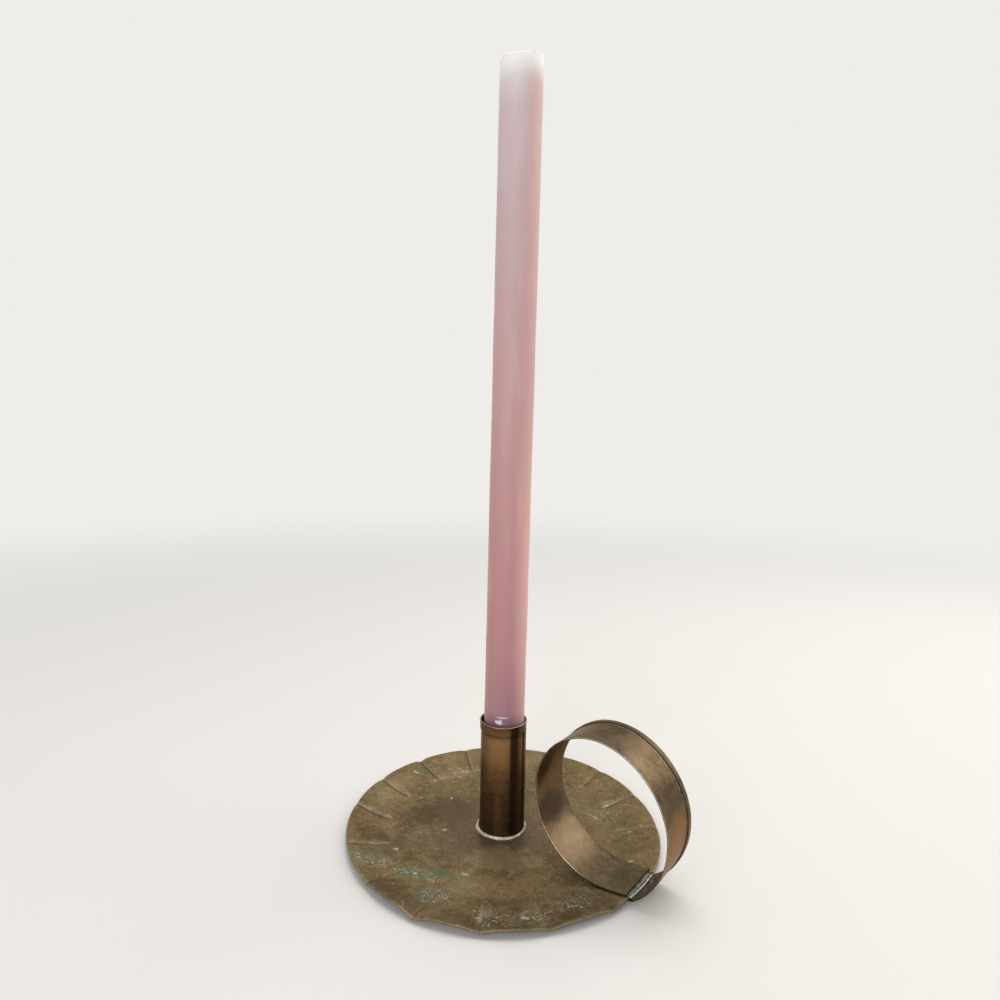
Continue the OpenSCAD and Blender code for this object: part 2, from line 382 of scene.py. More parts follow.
    def patch(self, centre: tuple[float, float, float], sizes: tuple[float, float, float], turn: float,
              ragged: float = 0.5) -> Socket:
        """A stain with a ragged edge.

        Args:
            centre: its middle, in millimetres.
            sizes: its half lengths, in millimetres.
            turn: turn of its first length about Z, in degrees.
            ragged: how far its edge wanders, as a share of its size.

        Returns:
            1 in its middle, falling to 0 at its edge.
        """
        node = self.tree.nodes.new("ShaderNodeMapping")
        node.vector_type = "TEXTURE"
        self.tree.links.new(self.place, node.inputs["Vector"])
        node.inputs["Location"].default_value = centre
        node.inputs["Rotation"].default_value = (0, 0, math.radians(turn))
        node.inputs["Scale"].default_value = [2 * s for s in sizes]
        inwards = self.tree.nodes.new("ShaderNodeTexGradient")
        inwards.gradient_type = "SPHERICAL"
        self.tree.links.new(node.outputs[0], inwards.inputs["Vector"])
        wander = self.math("MULTIPLY_ADD", self.clouds(min(sizes) * 0.9, detail=4.0), -ragged * 2)
        wander.node.inputs[2].default_value = ragged
        outwards = self.math("MULTIPLY", self.math("SUBTRACT", 1.0, inwards.outputs["Fac"]), 2.0)
        return self.window(self.math("ADD", outwards, wander), 1.0, 0.35)

    def bump(self, height: Socket, depth: float) -> None:
        """Adds relief to the surface on top of what it has.

        Args:
            height: 0 for low, 1 for high.
            depth: height of the relief, in millimetres.
        """
        node = self.tree.nodes.new("ShaderNodeBump")
        node.inputs["Strength"].default_value = 1.0
        node.inputs["Distance"].default_value = depth * MM
        self.tree.links.new(height, node.inputs["Height"])
        target = self.shader.inputs["Normal"]
        if target.is_linked:
            self.tree.links.new(target.links[0].from_socket, node.inputs["Normal"])
        self.tree.links.new(node.outputs[0], target)


@dataclass(frozen=True)
class TarnishedBrass:
    """Brown tarnish over sheet brass.

    Attributes:
        name: name of the material.
        tone: its middle colour.
        deep: colour of its dark blots, and of the painted shade in creases, along the strap's edges and on its
            dark patches.
        rubbed: colour where handling has lightened it.
        pale: colour of its finest light grit.
        grain_depth: strength of the grit.
        tint: colour that it drifts to over a hand's width.
        bare: colour of the bare metal along worn edges, and of the painted highlights on the pan's crease walls
            and along the strap's edges.
        grain: direction in which it was rubbed.
        metal: share of metal in the shine.
        dullness: middle roughness.
        sheen: strength of the colourless shine that lies over the metal.
        glance: colour of the metal's shine where it is seen along the sheet.
    """

    name: str
    tone: Rgb
    deep: Rgb
    rubbed: Rgb
    tint: Rgb
    pale: Rgb = (168, 150, 120)
    grain_depth: float = 0.5
    bare: Rgb = (150, 128, 100)
    grain: Grain = Grain.NONE
    metal: float = 0.7
    dullness: float = 0.4
    sheen: float = 0.4
    glance: Rgb = (217, 200, 179)

    def recipe(self) -> Recipe:
        """Builds the tarnish: slow tints, rubbed streaks, mottle, grit, each piece's marks, worn edges with
        painted highlights, and soiled hollows with painted shade.
        """
        r = Recipe(self.name)
        drift = r.clouds(26.0, detail=2.0)
        blots = r.clouds(11.0, detail=3.0)
        mottle = r.clouds(3.4, detail=3.0, roughness=0.6)
        grit = r.clouds(0.5, detail=2.0)
        streaks = r.clouds(self.grain.value, detail=3.0)
        colour = r.mix(r.window(drift, 0.38, 0.6), self.tone, self.tint)
        colour = r.mix(r.math("MULTIPLY", r.window(blots, 0.5, 0.68), 0.55), colour, self.deep)
        colour = r.mix(r.math("MULTIPLY", r.window(blots, 0.46, 0.3), 0.4), colour, self.rubbed)
        colour = r.mix(r.math("MULTIPLY", r.window(streaks, 0.48, 0.75), 0.45), colour, self.rubbed)
        colour = r.mix(r.math("MULTIPLY", r.window(mottle, 0.5, 0.7), 0.5), colour, self.rubbed)
        colour = r.mix(r.math("MULTIPLY", r.window(mottle, 0.48, 0.3), 0.45), colour, self.deep)
        colour = r.mix(r.math("MULTIPLY", r.window(grit, 0.52, 0.7), self.grain_depth), colour, self.pale)
        colour = r.mix(r.math("MULTIPLY", r.window(grit, 0.48, 0.3), self.grain_depth), colour, self.deep)
        colour, crust = self.marks(r, colour)
        # Soiling and painted shade darken the colour.
        colour = r.mix(r.math("MULTIPLY", r.attribute(GRIME_AND_SHADE), 0.8), colour, self.deep)
        # Worn edges and painted highlights lighten it to the bare colour.
        worn = r.math("MULTIPLY", r.attribute(WEAR_AND_HIGHLIGHT), r.window(r.clouds(2.5), 0.2, 0.55))
        colour = r.mix(worn, colour, self.bare)
        r.drive("Base Color", colour)
        rough = r.math("MULTIPLY_ADD", mottle, 0.25)
        rough.node.inputs[2].default_value = self.dullness - 0.125
        r.drive("Roughness", r.math("ADD", rough, r.math("MULTIPLY", crust, 0.3)))
        r.drive("Metallic", r.math("MULTIPLY", r.math("SUBTRACT", 1.0, crust), self.metal))
        r.settle(Specular_IOR_Level=self.sheen, Specular_Tint=linear(self.glance))
        r.bump(blots, 0.12)
        r.bump(streaks, 0.02)
        r.bump(mottle, 0.02)
        r.bump(grit, 0.008)
        return r

    def marks(self, r: Recipe, colour: Socket) -> tuple[Socket, Socket | float]:
        """Adds the marks of one piece and tells where a crust hides the metal; plain sheet has none."""
        return colour, 0.0

    def material(self) -> bpy.types.Material:
        """The finished material."""
        return self.recipe().material


@dataclass(frozen=True)
class PanPatch:
    """One patch on the pan: a real stain, spot or smear, or a patch of painted light or shade.

    Attributes:
        bearing: its direction from the pan's middle, in degrees about Z.
        distance: its distance from there, in millimetres.
        length: its half length, in millimetres.
        width: its half width, in millimetres.
        turn: direction of its length, in degrees about Z.
        strength: how far it covers the tarnish.
    """

    bearing: float
    distance: float
    length: float
    width: float
    turn: float = 0.0
    strength: float = 0.9

    def mask(self, r: Recipe) -> Socket:
        """The patch's cover on the pan, from 0 to its strength."""
        turn = math.radians(self.bearing)
        centre = (self.distance * math.cos(turn), self.distance * math.sin(turn), 1.5)
        cover = r.patch(centre, (self.length, self.width, 6.0), self.turn, ragged=0.8)
        return r.math("MULTIPLY", cover, self.strength)


PALE_SPOTS = (
    PanPatch(136, 73, 2.4, 1.0, -30, 0.9),
    PanPatch(225, 59, 1.6, 1.2, 10, 0.9),
    PanPatch(222, 62, 1.5, 0.9, -20, 0.6),
    PanPatch(221, 64, 1.2, 0.7, -20, 0.6),
    PanPatch(247, 45, 2.4, 1.0, -20, 0.7),
    PanPatch(203, 58.5, 2.0, 1.3, 0, 0.8),
    PanPatch(39, 63, 1.5, 1.1, 20, 0.7),
    PanPatch(355, 69, 1.7, 0.9, 15, 0.8),
    PanPatch(18, 63, 3.0, 1.2, 15, 0.45),
)
GREEN_HALOS = (
    PanPatch(132, 72, 8.0, 5.0, 40, 0.5),
    PanPatch(234, 51, 12.0, 5.0, -18, 0.9),
    PanPatch(205, 76, 13.0, 6.0, -25, 0.5),
    PanPatch(224, 60, 13.0, 6.0, -20, 0.8),
    PanPatch(240, 67, 9.0, 6.0, 20, 0.8),
    PanPatch(355, 66, 8.0, 4.0, 10, 0.3),
    PanPatch(39, 61, 5.0, 3.0, 10, 0.3),
    PanPatch(200, 62, 9.0, 4.0, -10, 0.3),
)
WHITE_SMEARS = (
    PanPatch(207, 76, 16.0, 8.0, -25, 0.95),
    PanPatch(213, 67, 12.0, 6.0, -25, 0.9),
    PanPatch(228, 57, 16.0, 6.0, -20, 0.7),
    PanPatch(242, 66, 11.0, 8.0, 20, 0.8),
    PanPatch(264, 72, 10.0, 10.0, 5, 0.9),
    PanPatch(279, 75, 17.0, 8.0, 8, 0.9),
    PanPatch(297, 71, 16.0, 8.0, 25, 0.85),
    PanPatch(10, 58, 10.0, 10.0, 0, 0.6),
    PanPatch(115, 61, 14.0, 4.0, -30, 0.7),
    PanPatch(186, 50, 20.0, 12.0, -10, 0.35),
    PanPatch(320, 52, 16.0, 12.0, 10, 0.45),
)
# Patches of painted shade: mostly on the near flange, which faces away from the light, and on the flat beside
# the socket's foot.
PAINTED_SHADE_PATCHES = (
    PanPatch(235, 76, 22.0, 11.0, -30, 0.55),
    PanPatch(258, 78, 24.0, 9.0, -8, 0.6),
    PanPatch(285, 78, 26.0, 9.0, 14, 0.5),
    PanPatch(200, 60, 22.0, 10.0, -40, 0.4),
    PanPatch(172, 46, 20.0, 13.0, 60, 0.75),
    PanPatch(191, 69, 16.0, 10.0, -10, 0.5),
    PanPatch(227, 77, 19.0, 11.0, -40, 0.8),
    PanPatch(153, 34, 27.0, 19.0, 20, 0.6),
    PanPatch(303, 74, 22.0, 14.0, 30, 0.65),
    PanPatch(2, 68, 16.0, 14.0, 0, 0.35),
    PanPatch(345, 68, 14.0, 14.0, 0, 0.4),
)
# Patches of painted light: on the far flange, which faces the light, and on the flat in front of the socket,
# where its reflection darkens the pan.
PAINTED_LIGHT_PATCHES = (
    PanPatch(152, 72, 26.0, 12.0, 62, 0.5),
    PanPatch(112, 76, 28.0, 9.0, 18, 0.35),
    PanPatch(75, 76, 24.0, 8.0, -15, 0.3),
    PanPatch(262, 50, 26.0, 13.0, 0, 0.4),
    PanPatch(118, 62, 18.0, 9.0, 28, 0.35),
    PanPatch(270, 29, 24.0, 14.0, 0, 0.65),
)
PALE_STREAKS = (
    PanPatch(21, 65, 4.5, 1.4, 20, 0.2),
    PanPatch(263, 71, 1.6, 8.0, -6, 0.3),
    PanPatch(10, 53, 3.6, 0.5, -50, 0.7),
    PanPatch(14, 50, 3.0, 0.4, -35, 0.6),
    PanPatch(333, 71, 4.2, 0.45, 10, 0.7),
    PanPatch(151, 53, 1.1, 0.6, 0, 0.8),
    PanPatch(138, 39, 1.3, 0.8, 70, 0.9),
    PanPatch(190, 31, 1.4, 0.8, 10, 0.9),
    PanPatch(123, 53, 1.1, 0.6, 0, 0.7),
    PanPatch(117, 57, 1.8, 0.7, -20, 0.6),
    PanPatch(278, 74, 2.2, 1.1, -10, 0.8),
)


@dataclass(frozen=True)
class PanBrass(TarnishedBrass):
    """The pan's tarnish, with its green spots, pale dashes and specks, and patches of painted light and shade.
    """

    pale_green: Rgb = (158, 186, 162)
    dark_green: Rgb = (72, 96, 72)
    chalk: Rgb = (200, 202, 184)
    middle_shade: Rgb = (92, 76, 64)
    # shade is the colour of the painted shade and of the dark specks; sunny that of the painted light.
    shade: Rgb = (72, 57, 38)
    painted_light: Rgb = (158, 138, 104)

    def marks(self, r: Recipe, colour: Socket) -> tuple[Socket, Socket | float]:
        """Adds the painted shade over the middle, the patches of painted light and shade, the stains that sit
        in named places, and the specks and dashes all over.

        Args:
            r: recipe being built.
            colour: colour so far.

        Returns:
            The colour with its marks, and where a crust hides the metal.
        """
        # Painted shade over the flat middle, round the socket's foot.
        middle = r.patch((-6.0, -2.0, 1.0), (50.0, 44.0, 90.0), 0.0, ragged=0.4)
        colour = r.mix(r.math("MULTIPLY", middle, 0.6), colour, self.middle_shade)
        # Painted light, then painted shade, in the named patches.
        for stains, tint in ((PAINTED_LIGHT_PATCHES, self.painted_light), (PAINTED_SHADE_PATCHES, self.shade)):
            for stain in stains:
                colour = r.mix(r.math("MULTIPLY", stain.mask(r), 0.8), colour, tint)
        broken = r.window(r.clouds(1.4, detail=3.0, roughness=0.7), 0.36, 0.54)
        crust = 0.0
        for stain in GREEN_HALOS:
            cover = r.math("MULTIPLY", stain.mask(r), broken)
            colour = r.mix(cover, colour, self.dark_green)
            crust = r.math("MAXIMUM", crust, cover)
        dashes = r.window(r.clouds((3.4, 0.8, 3.4), detail=3.0, turn=-25.0, roughness=0.7), 0.57, 0.68)
        chips = r.window(r.clouds(0.9, detail=3.0, roughness=0.65), 0.58, 0.68)
        dashes = r.math("MAXIMUM", dashes, chips)
        for stain in WHITE_SMEARS:
            cover = r.math("MULTIPLY", stain.mask(r), dashes)
            colour = r.mix(cover, colour, self.chalk)
            crust = r.math("MAXIMUM", crust, cover)
        for stain in PALE_STREAKS:
            colour = r.mix(stain.mask(r), colour, self.chalk)
        colour = r.mix(r.math("MULTIPLY", r.flecks(6.0, 0.2, 20.0, 0.04), 0.4), colour, self.chalk)
        colour = r.mix(r.math("MULTIPLY", r.flecks(5.0, 0.2, 110.0, 0.03), 0.35), colour, self.chalk)
        colour = r.mix(r.math("MULTIPLY", r.specks(3.0, 0.8, 0.2), 0.5), colour, self.chalk)
        # Dark specks, in the same colour as the painted shade.
        colour = r.mix(r.math("MULTIPLY", r.specks(1.7, 0.9, 0.35), 0.7), colour, self.shade)
        colour = r.mix(r.math("MULTIPLY", r.specks(13.0, 1.3, 0.25), 0.8), colour, self.chalk)
        for stain in PALE_SPOTS:
            colour = r.mix(stain.mask(r), colour, self.pale_green)
            crust = r.math("MAXIMUM", crust, stain.mask(r))
        return colour, crust


@dataclass(frozen=True)
class SocketBrass(TarnishedBrass):
    """The socket's tarnish, with a painted golden-brown reflection on its upper front-left, painted shade
    towards the foot, a painted dark reflection on its right-hand side, a darker hem band, and a painted shadow
    below the hem.
    """

    warm_reflection: Rgb = (154, 113, 70)
    dark_foot_and_hem: Rgb = (48, 37, 29)
    socket_shade: Rgb = (46, 34, 29)
    middle_height: float = 32.0
    shade_start: float = -71.0
    hem_line: float = 56.6

    def marks(self, r: Recipe, colour: Socket) -> tuple[Socket, Socket | float]:
        """Adds the painted golden-brown reflection, the painted shade towards the foot, the painted dark
        reflection on the right-hand side, the darker hem band and the painted shadow below the hem.

        Args:
            r: recipe being built.
            colour: colour so far.

        Returns:
            The colour with its marks, and 0 for no crust.
        """
        z = r.axis("Z")
        height = r.math("ADD", z, r.math("MULTIPLY", r.clouds((6.0, 6.0, 30.0)), 14.0))
        level = self.middle_height
        turn = r.math("DEGREES", r.math("ARCTAN2", r.axis("Y"), r.axis("X")))
        # Painted golden-brown reflection on the upper front-left.
        reflection_mask = r.math("MULTIPLY", r.window(height, level, level + 24), r.window(turn, -160.0, -110.0))
        colour = r.mix(r.math("MULTIPLY", reflection_mask, 0.75), colour, self.warm_reflection)
        # Painted shade towards the foot.
        colour = r.mix(r.math("MULTIPLY", r.window(height, level + 6, level - 24), 0.5), colour, self.dark_foot_and_hem)
        # Painted dark reflection on the right-hand side.
        start = r.window(turn, self.shade_start - 1.5, self.shade_start + 1.5)
        side = r.math("MULTIPLY", start, r.window(turn, 60.0, 20.0))
        colour = r.mix(r.math("MULTIPLY", side, 0.62), colour, self.socket_shade)
        below = r.math("SUBTRACT", self.hem_line, z)
        # The hem band is darker.
        colour = r.mix(r.math("MULTIPLY", r.window(below, 0.0, -0.2), 0.5), colour, self.dark_foot_and_hem)
        # Painted shadow under the hem's raw edge, with some soiling.
        dirt_and_shade = r.math("MULTIPLY", r.window(below, 3.2, 0.0), r.window(below, -0.3, 0.1))
        return r.mix(r.math("MULTIPLY", dirt_and_shade, 0.75), colour, self.socket_shade), 0.0


@dataclass(frozen=True)
class StrapBrass(TarnishedBrass):
    """The strap's tarnish, with patches of painted light and shade, and a painted shadow with pale crust spots
    where it passes the rim.
    """

    rim_shadow: Rgb = (40, 38, 29)
    crust: Rgb = (142, 140, 130)
    strap_shade: Rgb = (40, 28, 20)
    brown_reflection: Rgb = (106, 74, 47)
    warm_reflection: Rgb = (144, 104, 66)
    strap_highlight: Rgb = (138, 120, 98)

    def marks(self, r: Recipe, colour: Socket) -> tuple[Socket, Socket | float]:
        """Adds the patches of painted shade, reflection and highlight, and the painted shadow by the rim with
        its pale crust.

        Args:
            r: recipe being built.
            colour: colour so far.

        Returns:
            The colour with its marks, and the painted shadow's area, where the metal's shine is taken away.
        """
        # Painted light and shade: a brown reflection and painted shade on the inner face's left, painted shade
        # over the top, on the outer right and at the foot, a golden-brown reflection low on the outer right,
        # and painted highlights on the outer top and the inner lower left.
        for centre, sizes, share, tint in (
                ((24.0, -18.0, 38.0), (14.0, 16.0, 16.0), 0.6, self.brown_reflection),
                ((23.0, -21.0, 25.0), (12.0, 18.0, 11.0), 0.6, self.strap_shade),
                ((20.0, -28.0, 53.0), (12.0, 15.0, 18.0), 0.9, self.strap_shade),
                ((28.0, -22.0, 62.0), (10.0, 17.0, 12.0), 0.6, self.strap_shade),
                ((46.0, -36.0, 74.0), (15.0, 20.0, 8.0), 0.3, self.deep),
                ((73.0, -60.0, 53.0), (10.0, 17.0, 15.0), 0.45, self.deep),
                ((79.0, -62.0, 29.0), (15.0, 20.0, 20.0), 0.75, self.warm_reflection),
                ((60.0, -50.0, 70.0), (13.0, 20.0, 9.0), 0.3, self.strap_highlight),
                ((37.0, -28.0, 12.0), (19.0, 18.0, 13.0), 0.35, self.strap_highlight),
                ((60.0, -46.0, 4.0), (13.0, 15.0, 5.0), 0.35, self.deep)):
            cover = r.patch(centre, sizes, -37.5, ragged=0.6)
            colour = r.mix(r.math("MULTIPLY", cover, share), colour, tint)
        # Painted shadow on the strap where it passes under the rim.
        rim_shadow = r.patch((69.0, -53.0, 5.0), (6.0, 17.0, 11.0), -37.5, ragged=0.25)
        rim_shadow = r.math("MULTIPLY", rim_shadow, 0.97)
        colour = r.mix(rim_shadow, colour, self.rim_shadow)
        near_rim = r.patch((69.2, -53.1, 4.0), (2.4, 14.0, 6.0), -37.5, ragged=0.5)
        spots = r.window(r.clouds((0.7, 2.6, 0.7), detail=3.0, turn=-37.5), 0.5, 0.62)
        return r.mix(r.math("MULTIPLY", near_rim, spots), colour, self.crust), rim_shadow


@dataclass(frozen=True)
class Solder:
    """Dull tin-lead solder with a grey-white bloom, painted highlights along its ridges, and soiling with
    painted shade in its hollows.
    """

    name: str = "dull_solder"
    bloom: Rgb = (202, 195, 182)
    grey: Rgb = (166, 158, 144)
    stain: Rgb = (118, 106, 88)
    crest_highlight: Rgb = (206, 203, 190)
    dirt_and_shade: Rgb = (36, 34, 28)

    def material(self) -> bpy.types.Material:
        """Builds the solder's material."""
        r = Recipe(self.name)
        bloom = r.clouds(2.4, detail=2.0)
        stain = r.clouds(7.0, detail=3.0)
        colour = r.mix(r.window(bloom, 0.35, 0.65), self.grey, self.bloom)
        colour = r.mix(r.math("MULTIPLY", r.window(stain, 0.52, 0.72), 0.5), colour, self.stain)
        streaks = r.window(r.clouds((0.6, 0.6, 0.6), detail=2.0), 0.66, 0.5)
        # Painted shade with some soiling in the hollows, and dark streaks.
        soil_and_shade = r.window(r.math("ADD", r.attribute(GRIME_AND_SHADE), r.math("MULTIPLY", streaks, 0.5)), 0.7, 1.2)
        colour = r.mix(r.math("MULTIPLY", soil_and_shade, 0.96), colour, self.dirt_and_shade)
        # Painted highlights along the ridges.
        colour = r.mix(r.math("MULTIPLY", r.attribute(WEAR_AND_HIGHLIGHT), r.window(bloom, 0.2, 0.55)), colour, self.crest_highlight)
        r.drive("Base Color", colour)
        rough = r.math("MULTIPLY_ADD", bloom, 0.2)
        rough.node.inputs[2].default_value = 0.34
        r.drive("Roughness", rough)
        r.settle(Metallic=0.6)
        r.bump(bloom, 0.05)
        return r.material


@dataclass(frozen=True)
class Wax:
    """Candle wax that fades from its coloured foot to its pale tip.

    Attributes:
        name: name of the material.
        fade: heights in millimetres with the wax's colour there, in rising order.
        scuff: colour of its cloudy blots.
        glint: colour of the painted glint on its foot, just above the socket's mouth.
        side_light_low: colour of the painted light on its right-hand side, near its foot.
        side_light_high: colour of that painted light near its tip.
        left_reflection: colour of the painted brownish reflection on its left-hand side.
        glow: share of the light that enters the wax.
        dullness: middle roughness.
    """

    name: str
    fade: tuple[tuple[float, Rgb], ...]
    scuff: Rgb = (232, 214, 208)
    glint: Rgb = (240, 228, 240)
    side_light_low: Rgb = (238, 186, 175)
    side_light_high: Rgb = (200, 151, 141)
    left_reflection: Rgb = (172, 124, 98)
    glow: float = 0.2
    dullness: float = 0.5

    def material(self) -> bpy.types.Material:
        """Builds the wax: its fade, painted light on its sides, cloudy blots, a painted glint on its foot,
        faint upright streaks and small dimples.
        """
        r = Recipe(self.name)
        wander = r.math("MULTIPLY", r.math("SUBTRACT", r.clouds((8.0, 8.0, 20.0)), 0.5), 5.0)
        colour = r.ramp(r.math("ADD", r.axis("Z"), wander), self.fade)
        # Painted light on the sides: a pink glow on the right-hand side, duller towards the tip, and a brownish
        # reflection on the left-hand side, strongest near the foot.
        low = r.math("MULTIPLY", r.window(r.axis("Z"), 400.0, 60.0), r.window(r.axis("Z"), 50.0, 70.0))
        low = r.math("MULTIPLY", low, 0.45)
        right = r.math("MULTIPLY", r.window(r.axis("X"), 2.0, 11.0), r.window(r.axis("Z"), 50.0, 70.0))
        right = r.math("MULTIPLY", right, r.window(r.axis("Z"), 390.0, 378.0))
        tint = r.mix(r.window(r.axis("Z"), 260.0, 130.0), self.side_light_high, self.side_light_low)
        colour = r.mix(r.math("MULTIPLY", right, 0.56), colour, tint)
        left = r.math("MULTIPLY", r.window(r.axis("X"), -2.0, -11.0), r.math("ADD", low, 0.12))
        colour = r.mix(left, colour, self.left_reflection)
        blots = r.clouds((6.0, 6.0, 36.0), detail=4.0)
        colour = r.mix(r.math("MULTIPLY", r.window(blots, 0.5, 0.75), 0.12), colour, self.scuff)
        # Painted glint on the front of the foot, just above the socket's mouth.
        glint_spot = r.patch((-2.0, -10.5, 63.6), (2.6, 6.0, 2.0), 0.0, ragged=0.9)
        glint_arc = r.patch((-0.6, -10.6, 66.2), (4.4, 6.0, 0.5), 0.0, ragged=0.5)
        colour = r.mix(r.math("MULTIPLY", r.math("MAXIMUM", glint_spot, glint_arc), 0.8), colour, self.glint)
        colour = r.mix(r.math("MULTIPLY", r.specks(9.0, 0.9, 0.2), 0.5), colour, self.scuff)
        r.drive("Base Color", colour)
        mottle = r.clouds((3.0, 3.0, 7.0), detail=4.0)
        rough = r.math("MULTIPLY_ADD", mottle, 0.2)
        rough.node.inputs[2].default_value = self.dullness - 0.1
        r.drive("Roughness", rough)
        r.settle(Subsurface_Weight=self.glow, Subsurface_Radius=(1.0, 0.45, 0.4), Subsurface_Scale=0.0008,
                 Specular_IOR_Level=0.35, Sheen_Weight=0.15, Sheen_Roughness=0.5)
        r.bump(mottle, 0.04)
        r.bump(r.clouds((14.0, 14.0, 30.0)), 0.3)
        return r.material


@dataclass(frozen=True)
class Cotton:
    """Waxed cotton yarn."""

    name: str = "waxed_cotton"
    clean: Rgb = (228, 220, 200)
    waxed: Rgb = (190, 178, 158)

    def material(self) -> bpy.types.Material:
        """Builds the cotton's material."""
        r = Recipe(self.name)
        fibres = r.clouds((0.12, 0.12, 0.8), detail=2.0)
        r.drive("Base Color", r.mix(r.window(fibres, 0.35, 0.65), self.waxed, self.clean))
        r.drive("Roughness", r.window(fibres, -1.0, 1.2))
        r.bump(fibres, 0.05)
        return r.material


@dataclass(frozen=True)
class Piece:
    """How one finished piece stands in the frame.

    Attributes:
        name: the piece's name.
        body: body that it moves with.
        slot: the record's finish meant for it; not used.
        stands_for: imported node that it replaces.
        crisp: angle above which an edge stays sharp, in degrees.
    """

    name: str
    body: Body
    slot: Slot
    stands_for: str
    crisp: float = 40.0

    def hand_over(self, bm: BMesh, material: bpy.types.Material) -> bpy.types.Object:
        """Makes the object from its mesh and gives it to the frame.

        Args:
            bm: the finished mesh, in millimetres. It is freed.
            material: its finish.

        Returns:
            The new object.
        """
        bmesh.ops.scale(bm, vec=Vector((MM, MM, MM)), verts=bm.verts[:])
        mesh = bpy.data.meshes.new(self.name)
        bm.to_mesh(mesh)
        bm.free()
        mesh.shade_smooth()
        mesh.set_sharp_from_angle(angle=math.radians(self.crisp))
        mesh.materials.append(material)
        piece = bpy.data.objects.new(self.name, mesh)
        bpy.context.scene.collection.objects.link(piece)
        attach(piece, self.body.value)
        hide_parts(self.stands_for)
        log.info("%s: %d faces on %s", self.name, len(mesh.polygons), self.body.value)
        return piece


@dataclass(frozen=True)
class Crease:
    """One crease of the flange as it was struck by hand.

    Attributes:
        start_off: how far its inner end strays from its even place, in degrees about Z.
        rim_off: how far its outer end strays, in degrees about Z.
        start: depth at its inner end, in millimetres.
        rim: depth at the rim, in millimetres.
        reach: how far the rim stands out at its corner, in millimetres.
        wall: width of one of its walls at the rim, in millimetres.
        rubbed: strength of the painted highlight on its back wall.
    """

    start_off: float = 0.0
    rim_off: float = 0.0
    start: float = 0.7
    rim: float = 0.8
    reach: float = 0.0
    wall: float = 4.0
    rubbed: float = 0.2


STRUCK = (
    Crease(1.8, 4.0, 0.45, 0.4, rubbed=0.1),
    Crease(1.3, 3.6, 0.5, 0.45, rubbed=0.0),
    Crease(1.0, 1.5, 0.5, 0.5, rubbed=0.1),
    Crease(0.5, 0.0, 0.6, 0.6),
    Crease(2.0, 1.0, 0.6, 0.5, rubbed=0.5),
    Crease(1.2, 0.4, 1.0, 1.2, rubbed=0.6),
    Crease(3.2, -0.4, 1.4, 0.8, rubbed=0.8),
    Crease(3.8, -2.8, 1.4, 0.7, rubbed=0.8),
    Crease(2.7, 0.4, 0.4, 0.4, rubbed=0.2),
    Crease(2.0, 1.7, 0.3, 0.9, 0.0, 6.0, rubbed=0.0),
    Crease(1.5, 1.5, 0.2, 1.9, 0.9, 10.0),
    Crease(0.0, 0.0, 0.3, 1.4, 0.2, 8.0),
    Crease(-0.5, -0.5, 0.2, 1.4, 0.0, 8.0),
    Crease(-1.5, -1.4, 0.1, 1.3, 0.6, 7.0),
    Crease(0.0, 0.0, 0.4, 0.8),
    Crease(2.8, 3.8, 0.35, 0.4, rubbed=0.0),
)


